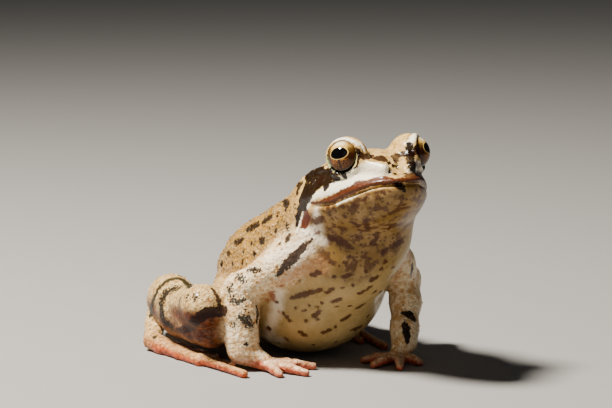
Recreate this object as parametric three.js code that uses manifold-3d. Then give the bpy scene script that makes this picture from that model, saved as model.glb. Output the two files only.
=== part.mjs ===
// A common frog, sitting with its head up, as a life-size still figure. Millimetres, +Z up, nose towards
// -Y, the frog's left towards +X. The body is one smooth field of round cones, ellipsoids and egg shapes,
// parted into named solids where the limbs join. Hands and feet are closed tubes, with webs as plates.
import * as THREE from 'three';
import { mergeVertices } from 'three/addons/utils/BufferGeometryUtils.js';
import { triTable } from 'three/addons/objects/MarchingCubes.js';
import Module from 'manifold-3d';

const wasm = await Module();
wasm.setup();

// ---- driving sizes ----
const CENTRE = [-2.35, 9.73]; // where the middle of the outline falls in the body's own x and y
const GAP = 0.45; // between neighbouring solids
const EYE_RADIUS = 3.45;
const LID_DEPTH = 3.6; // how far out along the eye's axis the lids' round opening is centred
const LID_OPENING = 4.1; // radius of the ball that opens them
const WEB = [0.15, 0.85]; // under and upper side of the skin between the toes
const JAW_HINGE = 0.5; // where the mouth's slit ends, ahead of the jaw's corner
const SLEEVE = 1.2; // how much wider than a limb the sleeve is that parts it from the body
const HEAD_CELL = 2.8, LIMB_CELL = 3.2, TRUNK_CELL = 4.4; // size of the cells that the skin is meshed in

const v = (x, y, z) => new THREE.Vector3(x, y, z);
const between = (a, b, t) => a.clone().lerp(b, t);

// Axes of a shape whose nose turns `yaw` degrees to the frog's right and lifts `pitch`: [left, back, up].
function turned(yaw = 0, pitch = 0) {
  const a = THREE.MathUtils.degToRad(yaw), b = THREE.MathUtils.degToRad(pitch);
  const left = v(Math.cos(a), -Math.sin(a), 0);
  const back = v(Math.sin(a) * Math.cos(b), Math.cos(a) * Math.cos(b), -Math.sin(b));
  return [left, back, left.clone().cross(back)];
}

// ---- fields: distance to a surface, negative inside ----
const blend = (a, b, k) => {
  const h = Math.max(k - Math.abs(a - b), 0) / k;
  return Math.min(a, b) - h * h * k * 0.25;
};

function cone(a, b, ra, rb, k) {
  const ab = b.clone().sub(a), l2 = ab.lengthSq();
  const d = (p) => {
    const px = p.x - a.x, py = p.y - a.y, pz = p.z - a.z;
    const t = Math.min(1, Math.max(0, (px * ab.x + py * ab.y + pz * ab.z) / l2));
    return Math.hypot(px - t * ab.x, py - t * ab.y, pz - t * ab.z) - (ra + (rb - ra) * t);
  };
  return { d, k };
}

// A run of cones through points given as [point, radius].
const chain = (...stops) => stops.slice(1).map(([q, rq], i) => cone(stops[i][0], q, stops[i][1], rq));

function ellipsoid(c, r, axes = turned(), k) {
  const d = (p) => {
    const q = p.clone().sub(c);
    const x = q.dot(axes[0]) / r[0], y = q.dot(axes[1]) / r[1], z = q.dot(axes[2]) / r[2];
    const k0 = Math.hypot(x, y, z), k1 = Math.hypot(x / r[0], y / r[1], z / r[2]) + 1e-9;
    return (k0 * (k0 - 1)) / k1;
  };
  return { d, k };
}

// An egg that is longer ahead than behind, with its own heights above and below, narrowing towards the front.
function egg(c, axes, { wide, front, back, up, down, power = 2, taper = 0, taperUp = 0, taperDown = 0, k }) {
  const d = (p) => {
    const q = p.clone().sub(c);
    const x = q.dot(axes[0]), y = -q.dot(axes[1]), z = q.dot(axes[2]);
    const ahead = Math.min(front, Math.max(-back, y));
    const w = wide + taper * ahead;
    const h = z > 0 ? up + taperUp * ahead : down + taperDown * ahead;
    const l = y > 0 ? front : back;
    const rho = Math.sqrt((x / w) ** 2 + (z / h) ** 2 + 1e-6), eta = Math.abs(y) / l + 1e-6;
    const s = (rho ** power + eta ** power) ** (1 / power);
    const across = (x / w ** 2) ** 2 + (z / h ** 2) ** 2;
    const slope2 = s ** (2 - 2 * power) * (rho ** (2 * power - 4) * across + eta ** (2 * power - 2) / l ** 2);
    return (s - 1) / Math.sqrt(slope2 + (s < 0.5 ? 1e-3 : 0) + 1e-7);
  };
  return { d, k };
}

// ---- the head, in its own frame: x to the left, ahead to the nose, up from the line of the mouth ----
const HEAD_AT = v(-2.0, -10.7, 36.5);
const HEAD = turned(14, 15.5);
const headDir = (x, ahead, up) =>
  v(0, 0, 0).addScaledVector(HEAD[0], x).addScaledVector(HEAD[1], -ahead).addScaledVector(HEAD[2], up);
const headAt = (x, ahead, up) => headDir(x, ahead, up).add(HEAD_AT);

const eyes = {}, eyeAxes = {};
for (const [side, s] of [['r', -1], ['l', 1]]) {
  eyes[side] = headAt(s * 7.75, 10.2, 8.3);
  eyeAxes[side] = headDir(s * 0.77, 0.63, 0.08).normalize();
}

// ---- pieces of flesh: name -> primitives, the blend inside the piece, and where it joins the body ----
const pieces = new Map();
pieces.set('trunk', {
  inner: 5,
  parts: [
    ellipsoid(v(0.8, 10.4, 16), [16.1, 17.5, 15.2], turned(0, 28)), // belly
    ellipsoid(v(-0.8, -3.1, 26), [12, 12, 12.5], turned(8, 35)), // chest
    ellipsoid(v(1, -11.5, 29.3), [7.3, 6.2, 6.5], turned(8, 35)), // throat
    ellipsoid(v(-1.5, 25, 21.6), [7.5, 6.5, 4.3], turned(0, 35), 2.5), // hump over the hips
    ellipsoid(v(-1.4, 1, 32.3), [10.5, 14.5, 6.6], turned(6, 33)), // shoulders and nape
    ellipsoid(v(-1.4, 12.5, 25.4), [11, 12, 7.6], turned(0, 35)), // back
    ellipsoid(v(0, 22, 18.5), [11.5, 13, 9.5], turned(0, 38)), // loin
    ellipsoid(v(0, 29, 11.5), [10, 9, 7.5], turned(0, 45)), // rump
    cone(v(0, 33, 8), v(0, 37, 6.5), 5, 3), // vent
  ],
});
pieces.set('head', {
  inner: 3,
  join: 4,
  parts: [
    egg(headAt(0, 0, 1.4), HEAD, // upper jaw and snout
      { wide: 12.2, front: 20.4, back: 12, up: 5.6, down: 2.6, taper: -0.11, taperUp: -0.05 }),
    egg(headAt(0, 1, 2), HEAD, // skull
      { wide: 10.6, front: 15.5, back: 12, up: 8.6, down: 4, power: 2.2, taper: -0.15 }),
    egg(headAt(0, 0, -0.2), HEAD, // lower jaw and throat
      { wide: 12, front: 20, back: 11, up: 2, down: 8, taper: -0.1, taperDown: -0.12, k: 0.8 }),
    ...[-1, 1].flatMap((s) => [
      ellipsoid(headAt(s * 7, 9.6, 8.1), [4.2, 4.9, 4.4], HEAD, 1.5), // brow and lids
      cone(headAt(s * 5.9, 12.5, 6.7), headAt(s * 3, 17.6, 4.6), 1.5, 1.1, 1.6), // ridge from the eye to the nostril
    ]),
  ],
});

// The joints of the limbs as they lie in this pose, the forearms' radii from elbow to wrist, and the
// fingertips on the floor from inner to outer.
const ARMS = {
  r: { shoulder: v(-9.5, -4, 27.5), elbow: v(-19.4, 9.2, 16.8), wrist: v(-20.2, 7.3, 4.2),
    palm: v(-17.2, 3.8, 1.9), girths: [3.5, 3.75, 3.25, 2.9],
    tips: [[-9.5, 1.5], [-8.5, -2], [-13.5, -6], [-18.5, -3.5]] },
  l: { shoulder: v(9, -5.5, 25), elbow: v(18.8, 0, 16), wrist: v(12.3, -7.5, 4.2),
    palm: v(9.8, -8.6, 1.9), girths: [3.15, 3.15, 2.8, 2.6],
    tips: [[3.5, -4.5], [2.5, -9], [5.5, -14], [11.5, -13.5]] },
};
const LEGS = {
  r: { hip: v(-5.5, 27.5, 10), fullThigh: v(-15.7, 22, 8.6), knee: v(-25.9, 13.4, 13.4),
    heel: v(-15, 45, 8.4), ankle: v(-25, 34, 2.3), tip: v(-24.4, 1, 0.8),
    calf: v(-20.2, 33.4, 11), calfSize: [5, 10, 5.6], calfTurn: turned(18.6, 8),
    // this knee is lifted, and the muscles under it hang down towards the foot
    underThigh: [[v(-13, 24, 8), 5.6], [v(-22.2, 15.6, 8.2), 4.7]],
    underCalf: [[v(-23, 19, 8), 4.2], [v(-21.4, 28, 8.6), 4.6], [v(-19, 36.5, 7.8), 3.5]],
    sleeve: [[v(-24.6, 14.8, 10.9), 6.6], [v(-22.5, 24, 10.3), 6.2]] }, // round the knee and the near calf
  l: { hip: v(5.5, 27, 10.5), fullThigh: v(13, 23.5, 9), knee: v(19.8, 16.5, 9.2),
    heel: v(15, 45.5, 8), ankle: v(24, 34.5, 2.3), tip: v(15.5, 3, 0.8),
    calf: v(18.2, 31.5, 9), calfSize: [4.7, 11, 5], calfTurn: turned(-10.5, 3),
    underThigh: [], underCalf: [], sleeve: [[v(19.8, 16.5, 9.2), 4.7], [v(18.4, 25.2, 8.8), 4.2]] },
};
// Toes from the innermost to the fifth: share of the longest one's reach, offset outwards, tip radius.
const TOES = [[0.34, -5.2, 0.8], [0.52, -4.6, 0.85], [0.76, -2.6, 0.9], [1, 0, 0.95], [0.56, 1, 0.9]];

for (const [side, s] of [['r', -1], ['l', 1]]) {
  const { shoulder, elbow, wrist, palm, girths } = ARMS[side];
  pieces.set(`upper_arm_${side}`, { inner: 2.5, join: 3,
    parts: chain([shoulder, 4.2], [between(shoulder, elbow, 0.5), 3.6], [elbow, 3.3]) });
  pieces.set(`forearm_${side}`, { inner: 2, join: 1.5,
    parts: chain([elbow, girths[0]], [between(elbow, wrist, 0.38).add(v(s * 0.2, 0, 0)), girths[1]],
      [between(elbow, wrist, 0.8), girths[2]], [wrist, girths[3]]) });
  pieces.set(`hand_${side}`, { inner: 1.2, join: 1, parts: chain([wrist, girths[3]], [palm, 1.9]) });

  const { hip, fullThigh, knee, heel, ankle, calf, calfSize, calfTurn, tip } = LEGS[side];
  const { underThigh, underCalf } = LEGS[side];
  pieces.set(`thigh_${side}`, { inner: 2.5, join: 2,
    parts: [...chain([hip, 6.6], [fullThigh, 6], [knee, 4.5]), ...chain(...underThigh)] });
  pieces.set(`shank_${side}`, { inner: 1.6, join: 0.8,
    parts: [...chain([knee, 4.6], [between(knee, heel, 0.3), 4], [heel, 3.5]),
      ellipsoid(calf, calfSize, calfTurn), ...chain(...underCalf)] });
  pieces.set(`tarsus_${side}`, { inner: 1, join: 0.8,
    parts: chain([heel, 3], [between(heel, ankle, 0.6).add(v(s * 0.3, 0, 0)), 2.2], [ankle, 2.1]) });
  const sole = between(ankle, tip, 0.12).setZ(1.6);
  pieces.set(`foot_${side}`, { inner: 1, join: 0.5, parts: chain([ankle, 2], [sole, 1.9]) });
}

const names = [...pieces.keys()];
const pieceField = ({ parts, inner }, p) => parts.reduce((f, q) => blend(f, q.d(p), q.k ?? inner), 8);

// The whole body's distance at p, with the floor as its underside.
function flesh(p) {
  let whole = pieceField(pieces.get('trunk'), p);
  for (const n of names.slice(1)) whole = blend(whole, pieceField(pieces.get(n), p), pieces.get(n).join);
  return Math.max(whole, -p.z);
}

// ---- from a field to a closed mesh: marching cubes, then every point settled onto the surface ----
const CORNERS = [[0, 0, 0], [1, 0, 0], [1, 1, 0], [0, 1, 0], [0, 0, 1], [1, 0, 1], [1, 1, 1], [0, 1, 1]];
const EDGES = [
  [0, 1], [1, 2], [2, 3], [3, 0], [4, 5], [5, 6], [6, 7], [7, 4], [0, 4], [1, 5], [2, 6], [3, 7],
];

function polygonise(field, low, high, cell) {
  const n = high.clone().sub(low).divideScalar(cell).ceil().addScalar(1);
  const id = (i, j, k) => (i * n.y + j) * n.z + k;
  const at = (i, j, k) => v(i, j, k).multiplyScalar(cell).add(low);
  const f = new Float64Array(n.x * n.y * n.z);
  for (let i = 0; i < n.x; i++) for (let j = 0; j < n.y; j++) for (let k = 0; k < n.z; k++) {
    f[id(i, j, k)] = field(at(i, j, k));
  }
  const points = [], triangles = [], pointOn = new Map();
  for (let i = 0; i < n.x - 1; i++) for (let j = 0; j < n.y - 1; j++) for (let k = 0; k < n.z - 1; k++) {
    const corner = CORNERS.map(([a, b, c]) => [i + a, j + b, k + c]);
    const value = corner.map((c) => f[id(...c)]);
    const which = value.reduce((bits, x, c) => bits | (x < 0 ? 1 << c : 0), 0);
    for (let t = which * 16; triTable[t] !== -1; t++) {
      const [a, b] = EDGES[triTable[t]];
      const ends = [id(...corner[a]), id(...corner[b])].sort((x, y) => x - y).join();
      if (!pointOn.has(ends)) {
        const share = Math.min(0.85, Math.max(0.15, value[a] / (value[a] - value[b])));
        pointOn.set(ends, points.length);
        points.push(between(at(...corner[a]), at(...corner[b]), share));
      }
      triangles.push(pointOn.get(ends));
    }
  }
  return { points, triangles };
}

function settle(points, field, cell, passes) {
  const e = 0.05;
  for (let pass = 0; pass < passes; pass++) {
    for (const p of points) {
      const f = field(p);
      const g = v(field(v(p.x + e, p.y, p.z)), field(v(p.x, p.y + e, p.z)), field(v(p.x, p.y, p.z + e)));
      g.subScalar(f).divideScalar(e);
      const step = Math.max(-cell / 3, Math.min(cell / 3, f / Math.max(g.lengthSq(), 0.25)));
      p.addScaledVector(g, -step);
      if (p.z < 0.08) p.z = 0;
    }
  }
}

// Evens out the triangles: each point goes part of the way to its neighbours' middle, then to the surface.
function relax({ points, triangles }, field, cell) {
  const near = points.map(() => new Set());
  for (let t = 0; t < triangles.length; t++) {
    const first = t - (t % 3);
    near[triangles[t]].add(triangles[first + ((t + 1) % 3)]).add(triangles[first + ((t + 2) % 3)]);
  }
  for (let pass = 0; pass < 4; pass++) {
    const middle = near.map((set) => {
      const sum = v(0, 0, 0);
      set.forEach((j) => sum.add(points[j]));
      return sum.divideScalar(set.size);
    });
    points.forEach((p, i) => p.lerp(middle[i], 0.5));
    settle(points, field, cell, pass < 3 ? 1 : 4);
  }
}

function volume({ points, triangles }) {
  let sum = 0;
  for (let t = 0; t < triangles.length; t += 3) {
    const [a, b, c] = [0, 1, 2].map((m) => points[triangles[t + m]]);
    sum += a.dot(b.clone().cross(c)) / 6;
  }
  return sum;
}

// The largest of the closed shells in a mesh, its faces pointing out.
function largestShell({ points, triangles }) {
  const root = points.map((_, i) => i);
  const find = (i) => { while (root[i] !== i) i = root[i] = root[root[i]]; return i; };
  for (let t = 0; t < triangles.length; t += 3) {
    root[find(triangles[t])] = find(triangles[t + 1]);
    root[find(triangles[t])] = find(triangles[t + 2]);
  }
  const count = new Map();
  triangles.forEach((i) => count.set(find(i), (count.get(find(i)) ?? 0) + 1));
  const biggest = [...count].sort((a, b) => b[1] - a[1])[0][0];
  const kept = [];
  for (let t = 0; t < triangles.length; t += 3) {
    if (find(triangles[t]) === biggest) kept.push(...triangles.slice(t, t + 3));
  }
  const number = new Map();
  kept.forEach((i) => { if (!number.has(i)) number.set(i, number.size); });
  const order = [...number.keys()];
  const shell = { points: order.map((i) => points[i]), triangles: kept.map((i) => number.get(i)) };
  if (volume(shell) < 0) shell.triangles.reverse();
  return shell;
}

// ---- solids for joining and cutting ----
const toSolid = ({ points, triangles }) => new wasm.Manifold(new wasm.Mesh({
  numProp: 3,
  vertProperties: new Float32Array(points.flatMap((p) => p.toArray())),
  triVerts: new Uint32Array(triangles),
}));

function fromGeometry(geometry) {
  geometry.deleteAttribute('normal');
  geometry.deleteAttribute('uv');
  const merged = mergeVertices(geometry, 1e-4);
  const xyz = merged.attributes.position;
  const points = Array.from({ length: xyz.count }, (_, i) => v(xyz.getX(i), xyz.getY(i), xyz.getZ(i)));
  return toSolid({ points, triangles: [...merged.index.array] });
}

const FLOOR = fromGeometry(new THREE.BoxGeometry(200, 200, 20).translate(0, 0, -10));

// A closed block in the frame of `axes` at `at`, between two corners given in that frame.
function block(axes, at, low, high) {
  const size = high.map((h, i) => h - low[i]);
  const box = new THREE.BoxGeometry(...size).translate(...high.map((h, i) => (h + low[i]) / 2));
  return fromGeometry(box.applyMatrix4(new THREE.Matrix4().makeBasis(...axes).setPosition(at)));
}

const ball = (at, radius) =>
  fromGeometry(new THREE.IcosahedronGeometry(radius, 2).translate(at.x, at.y, at.z));

// A tube of round section along a curve through [point, radius] stops, with rounded ends.
function tube(stops, grow = 0, sides = 5, steps = 2) {
  const curve = new THREE.CatmullRomCurve3(stops.map(([p]) => p));
  const radius = (t) => {
    const at = t * (stops.length - 1), i = Math.min(stops.length - 2, Math.floor(at));
    return THREE.MathUtils.lerp(stops[i][1], stops[i + 1][1], at - i) + grow;
  };
  const rings = [];
  const ring = (t, ahead, shrink) => {
    const along = curve.getTangent(t), side = Math.abs(along.z) > 0.8 ? v(0, 1, 0) : v(0, 0, 1);
    const out = side.cross(along).normalize(), up = along.clone().cross(out);
    const c = curve.getPoint(t).addScaledVector(along, ahead * radius(t));
    rings.push(Array.from({ length: sides }, (_, m) => {
      const a = ((m + 0.5) / sides) * 2 * Math.PI, r = radius(t) * shrink;
      return c.clone().addScaledVector(out, Math.cos(a) * r).addScaledVector(up, Math.sin(a) * r);
    }));
  };
  ring(0, -0.9, 0.42);
  ring(0, -0.55, 0.84);
  for (let i = 0; i <= steps; i++) ring(i / steps, 0, 1);
  ring(1, 0.55, 0.84);
  ring(1, 0.9, 0.42);
  const points = rings.flat(), triangles = [];
  for (let i = 0; i + 1 < rings.length; i++) for (let m = 0; m < sides; m++) {
    const a = i * sides + m, b = i * sides + ((m + 1) % sides), c = a + sides, d = b + sides;
    triangles.push(a, b, d, a, d, c);
  }
  for (const [start, way] of [[0, 1], [(rings.length - 1) * sides, -1]]) {
    for (let m = 1; m + 1 < sides; m++) {
      triangles.push(start, ...(way > 0 ? [start + m + 1, start + m] : [start + m, start + m + 1]));
    }
  }
  return toSolid({ points, triangles });
}

// Where a finger runs: from the palm, over a knuckle, to its tip on the floor.
function fingerStops(palm, [x, y]) {
  const tip = v(x, y, 0.75), base = between(palm, tip, 0.22).setZ(1.4);
  return [[base, 1.2], [between(base, tip, 0.5).setZ(1.35), 0.85], [tip, 0.82]];
}

function toeStops({ ankle, tip }, s, [share, offset, radius]) {
  const along = tip.clone().sub(ankle).normalize();
  const base = ankle.clone().addScaledVector(along, 3).add(v(s * offset * 0.25, 0, 0)).setZ(1.5);
  const end = between(ankle, tip, share).add(v(s * offset, 0, 0)).setZ(0.8);
  return [[base, 1.5], [between(base, end, 0.5).setZ(1.25), 1.1], [end, radius]];
}

// The web between two toes: a thin plate that ends in a hollow edge, halfway down the shorter one.
function web(a, b) {
  const [p, q] = [a, b].map((stops) => new THREE.CatmullRomCurve3(stops.map(([c]) => c)));
  const reach = 0.8 * Math.min(p.getLength(), q.getLength());
  const along = (curve) => [0, 0.5, 1].map((share) => curve.getPointAt((share * reach) / curve.getLength()));
  const one = along(p), two = along(q);
  const hollow = between(between(one[2], two[2], 0.5), between(one[0], two[0], 0.5), 0.25);
  const rim = [...one, hollow, ...two.reverse()].map((c) => new THREE.Vector2(c.x, c.y));
  const depth = WEB[1] - WEB[0];
  const plate = new THREE.ExtrudeGeometry(new THREE.Shape(rim), { depth, bevelEnabled: false, steps: 1 });
  return fromGeometry(plate.translate(0, 0, WEB[0]));
}

// ---- the scene ----
const COLOURS = {
  back: '#b39468', belly: '#cfc39a', head: '#c2a67c', limb: '#d0ae88', digit: '#c9713f', eye: '#4a3018',
};
const frog = new THREE.Group();
const body = new THREE.Group();
body.position.set(-CENTRE[0], -CENTRE[1], 0);
frog.add(body);

function meshOf(solid) {
  const { vertProperties: xyz, triVerts, numProp } = solid.getMesh();
  const points = [];
  for (let i = 0; i < xyz.length; i += numProp) points.push(v(xyz[i], xyz[i + 1], xyz[i + 2]));
  return largestShell({ points, triangles: [...triVerts] });
}

function place(name, solid, colour, roughness = 0.55) {
  const { points, triangles } = meshOf(solid);
  const geometry = new THREE.BufferGeometry();
  geometry.setAttribute('position', new THREE.Float32BufferAttribute(points.flatMap((p) => p.toArray()), 3));
  geometry.setIndex(triangles);
  geometry.computeVertexNormals();
  const material = new THREE.MeshStandardMaterial({ color: colour, roughness, metalness: 0 });
  const mesh = new THREE.Mesh(geometry, material);
  mesh.name = name;
  body.add(mesh);
}

// The neck is a plane from the nape to the throat. Head and body are meshed past it, each in its own cells.
const NECK_AT = v(0, -1, 41), NECK = turned(0, 48.2);
const infrontOfNeck = (p) => -p.clone().sub(NECK_AT).dot(NECK[1]);
const FAR = 120;

function smoothSolid(field, low, high, cell) {
  const mesh = largestShell(polygonise(field, low, high, cell));
  relax(mesh, field, cell);
  return toSolid(mesh);
}
const aheadOfNeck = (p) => Math.max(flesh(p), -infrontOfNeck(p) - 2.5);
let head = smoothSolid(aheadOfNeck, v(-18, -34, 20), v(16, 8, 54), HEAD_CELL);
const behindNeck = (p) => Math.max(flesh(p), infrontOfNeck(p) - 2.5);
let limbs = smoothSolid(behindNeck, v(-36, -30, -3), v(34, 54, 46), LIMB_CELL);
let trunk = smoothSolid(behindNeck, v(-36, -30, -3), v(34, 54, 46), TRUNK_CELL);

const behind = (cut) => block(NECK, NECK_AT, [-FAR, -cut, -FAR], [FAR, FAR, FAR]);
const ahead = (cut) => block(NECK, NECK_AT, [-FAR, -FAR, -FAR], [FAR, cut, FAR]);
head = head.subtract(behind(GAP / 2));
trunk = trunk.subtract(ahead(GAP / 2));

for (const side of ['r', 'l']) {
  const opening = eyes[side].clone().addScaledVector(eyeAxes[side], LID_DEPTH);
  head = head.subtract(ball(opening, LID_OPENING)).subtract(ball(eyes[side], EYE_RADIUS + GAP));
  place(`eye_${side}`, ball(eyes[side], EYE_RADIUS), COLOURS.eye, 0.15);
}
// The mouth: below its plane and ahead of the jaw's corner lies the lower jaw.
const jawSide = (grow) => block(HEAD, HEAD_AT, [-FAR, -FAR, -FAR], [FAR, grow - JAW_HINGE, grow]);
place('lower_jaw', head.intersect(jawSide(-GAP / 2)), COLOURS.belly);
place('head', head.subtract(jawSide(GAP / 2)), COLOURS.head);

// Hands and feet are tubes and plates of their own. Each other piece of a limb is what lies in a sleeve a
// little wider than the limb. They are taken in order from the digits up, and each leaves a gap behind.
const clear = (stops, grow) => {
  const sleeve = tube(stops, grow + GAP, 8, 2);
  limbs = limbs.subtract(sleeve);
  trunk = trunk.subtract(sleeve);
};
const take = (name, stops) => {
  place(name, limbs.intersect(tube(stops, SLEEVE, 8, 2)), COLOURS.limb);
  clear(stops, SLEEVE);
};
for (const side of ['r', 'l']) {
  const s = side === 'r' ? -1 : 1;
  const { shoulder, elbow, wrist, palm, tips, girths } = ARMS[side];
  const palmStops = [[wrist, girths[3] - 0.1], [palm, 1.9]];
  let hand = tube(palmStops, 0, 7, 1);
  for (const tip of tips) hand = hand.add(tube(fingerStops(palm, tip)));
  place(`hand_${side}`, hand.subtract(FLOOR), COLOURS.digit);
  clear(palmStops, 0);
  const middle = between(elbow, wrist, 0.38);
  take(`forearm_${side}`, [[elbow, girths[0]], [middle, girths[1]], [wrist, girths[3] + 0.2]]);
  take(`upper_arm_${side}`, [[shoulder, 4.4], [between(shoulder, elbow, 0.5), 3.7], [elbow, 3.3]]);

  const { hip, fullThigh, knee, heel, ankle, calf, calfSize, tip, sleeve } = LEGS[side];
  const soleStops = [[ankle, 2.2], [between(ankle, tip, 0.14).setZ(1.7), 1.9]];
  const toes = TOES.map((toe) => toeStops(LEGS[side], s, toe));
  let foot = tube(soleStops, 0, 7, 1);
  toes.forEach((stops, t) => {
    foot = foot.add(tube(stops));
    if (t) foot = foot.add(web(toes[t - 1], stops));
  });
  place(`foot_${side}`, foot.subtract(FLOOR), COLOURS.digit);
  clear(soleStops, 0);
  take(`tarsus_${side}`, [[heel, 3], [between(heel, ankle, 0.6), 2.5], [ankle, 2.4]]);
  take(`shank_${side}`, [...sleeve, [calf, calfSize[2]], [heel, 3.6]]);
  take(`thigh_${side}`, [[between(hip, knee, 0.2), 6.3], [fullThigh, 6.2], sleeve[0]]);
}
place('trunk', trunk, COLOURS.back);

export default frog;
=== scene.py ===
# %% [markdown]
# # A common frog, life size
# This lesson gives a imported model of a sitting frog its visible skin, eyes and colours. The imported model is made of
# plain parted solids, one for each part of the body. Real skin has no gaps, so one closed mesh replaces them all,
# and only the eyes stay separate. All sizes are in millimetres until a mesh is made, and Blender gets metres.

# %% Load the frame
import math

import bpy
import numpy as np
from mathutils import Matrix, Vector


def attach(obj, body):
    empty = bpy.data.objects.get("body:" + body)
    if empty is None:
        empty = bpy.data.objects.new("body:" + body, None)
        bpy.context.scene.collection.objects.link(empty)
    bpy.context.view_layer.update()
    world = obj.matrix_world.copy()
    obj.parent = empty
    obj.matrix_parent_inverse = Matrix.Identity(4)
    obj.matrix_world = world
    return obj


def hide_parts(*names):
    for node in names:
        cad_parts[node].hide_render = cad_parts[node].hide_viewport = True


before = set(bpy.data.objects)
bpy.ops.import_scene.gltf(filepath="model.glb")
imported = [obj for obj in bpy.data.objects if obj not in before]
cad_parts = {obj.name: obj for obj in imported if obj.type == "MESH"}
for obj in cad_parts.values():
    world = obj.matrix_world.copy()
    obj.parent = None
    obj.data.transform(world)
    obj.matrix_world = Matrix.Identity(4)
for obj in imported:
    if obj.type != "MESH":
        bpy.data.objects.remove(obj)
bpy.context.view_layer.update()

print("solids to cover:", ", ".join(sorted(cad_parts)))

# %% [markdown]
# ## The camera
# A camera comes first here, because some marks on the skin are placed by where they should be seen. A long lens far
# away keeps the limbs nearest the camera from looking too large. The camera stands low, to the frog's front right,
# and tips down a little.

# %% Camera
VIEW = (612, 408)  # what the camera sees, in pixels
FOCAL_PIXELS = 2143.0
SENSOR = 36.0
CENTRE = np.array([-2.35, 9.73, 0.0])  # where the middle of the outline falls in the body's own coordinates
AZIMUTH, DIP = np.radians([-38.0, 9.0])
STAND_BACK, STAND_HEIGHT, ASIDE = 444.5, 105.7, 8.75

right = np.array([np.cos(AZIMUTH), np.sin(AZIMUTH), 0])
level = np.array([-np.sin(AZIMUTH), np.cos(AZIMUTH), 0])
lens_at = np.array([-ASIDE, 0, STAND_HEIGHT]) - STAND_BACK * level
look = level * np.cos(DIP) - np.array([0, 0, np.sin(DIP)])
above = np.cross(right, look)


def add_object(name, data):
    thing = bpy.data.objects.new(name, data)
    bpy.context.scene.collection.objects.link(thing)
    return thing


camera = add_object("camera", bpy.data.cameras.new("camera"))
bpy.context.scene.camera = camera
camera.data.sensor_width = SENSOR
camera.data.lens = FOCAL_PIXELS / VIEW[0] * SENSOR
camera.data.clip_start, camera.data.clip_end = 0.01, 10
turn = np.eye(4)
turn[:3, :3] = np.stack([right, above, -look], axis=1)
turn[:3, 3] = (lens_at - CENTRE) / 1000
camera.matrix_world = Matrix(turn.tolist())
print("lens", round(camera.data.lens, 1), "mm")

# %% [markdown]
# ## Shapes as distances
# A soft body is hard to model with boxes and loops. Instead every muscle is a simple shape that can say how far any
# point is from its surface: below zero inside, above zero outside. Two such distances can be blended, which joins
# two shapes with a smooth fold between them. Round cones make limbs, ellipsoids make bellies, and an egg shape with
# its own length ahead and behind makes a snout.

# %% Blends and axes
def unit(v):
    """The same direction, with length 1."""
    return v / np.linalg.norm(v, axis=-1, keepdims=True)


def turned(yaw=0.0, pitch=0.0):
    """Rows are the left, back and up of a shape whose nose turns to the frog's right and lifts."""
    a, b = np.radians([yaw, pitch])
    left = np.array([np.cos(a), -np.sin(a), 0])
    back = np.array([np.sin(a) * np.cos(b), np.cos(a) * np.cos(b), -np.sin(b)])
    return np.array([left, back, np.cross(left, back)])


def blend(a, b, k):
    """Both shapes together, with a smooth fold about k wide where they meet."""
    h = np.maximum(k - np.abs(a - b), 0) / k
    return np.minimum(a, b) - h * h * k * 0.25


def carve(a, b, k):
    """Only what is inside both."""
    return -blend(-a, -b, k)


def own_axes(at, axes, x, y, z):
    """Places as seen from a shape's own middle, along its own axes."""
    x, y, z = x - at[0], y - at[1], z - at[2]
    return [x * a[0] + y * a[1] + z * a[2] for a in axes]


class Shape:
    """A distance function with the box that it fills and the width of its own blend, if it has one."""

    def __init__(self, distance, low, high, k=None):
        self.distance, self.low, self.high, self.k = distance, np.asarray(low), np.asarray(high), k


print("halfway between two flat walls 1 apart, a blend 2 wide is", round(float(blend(0.5, 0.5, 2)), 2))

# %% [markdown]
# ## Cones, ellipsoids and eggs
# These three shapes are enough for a frog. A round cone runs between two balls, an ellipsoid has three half-sizes,
# and an egg has a different length or height on each side of its middle, and may taper towards the nose.

# %% Simple shapes
def cone(a, b, ra, rb, k=None):
    a, b = np.asarray(a, float), np.asarray(b, float)
    ab = b - a
    l2 = ab @ ab

    def distance(x, y, z):
        px, py, pz = x - a[0], y - a[1], z - a[2]
        t = np.clip((px * ab[0] + py * ab[1] + pz * ab[2]) / l2, 0, 1)
        return np.sqrt((px - t * ab[0]) ** 2 + (py - t * ab[1]) ** 2 + (pz - t * ab[2]) ** 2) - (ra + (rb - ra) * t)

    r = max(ra, rb)
    return Shape(distance, np.minimum(a, b) - r, np.maximum(a, b) + r, k)


def chain(*stops, k=None):
    """A run of round cones through (point, radius) stops."""
    return [cone(p, q, rp, rq, k) for (p, rp), (q, rq) in zip(stops, stops[1:])]


def ellipsoid(at, size, axes=turned(), k=None):
    def distance(x, y, z):
        q = own_axes(at, axes, x, y, z)
        k0 = np.sqrt(sum((c / s) ** 2 for c, s in zip(q, size)))
        k1 = np.sqrt(sum((c / s ** 2) ** 2 for c, s in zip(q, size))) + 1e-9
        return k0 * (k0 - 1) / k1

    return Shape(distance, np.asarray(at) - max(size), np.asarray(at) + max(size), k)


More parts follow.
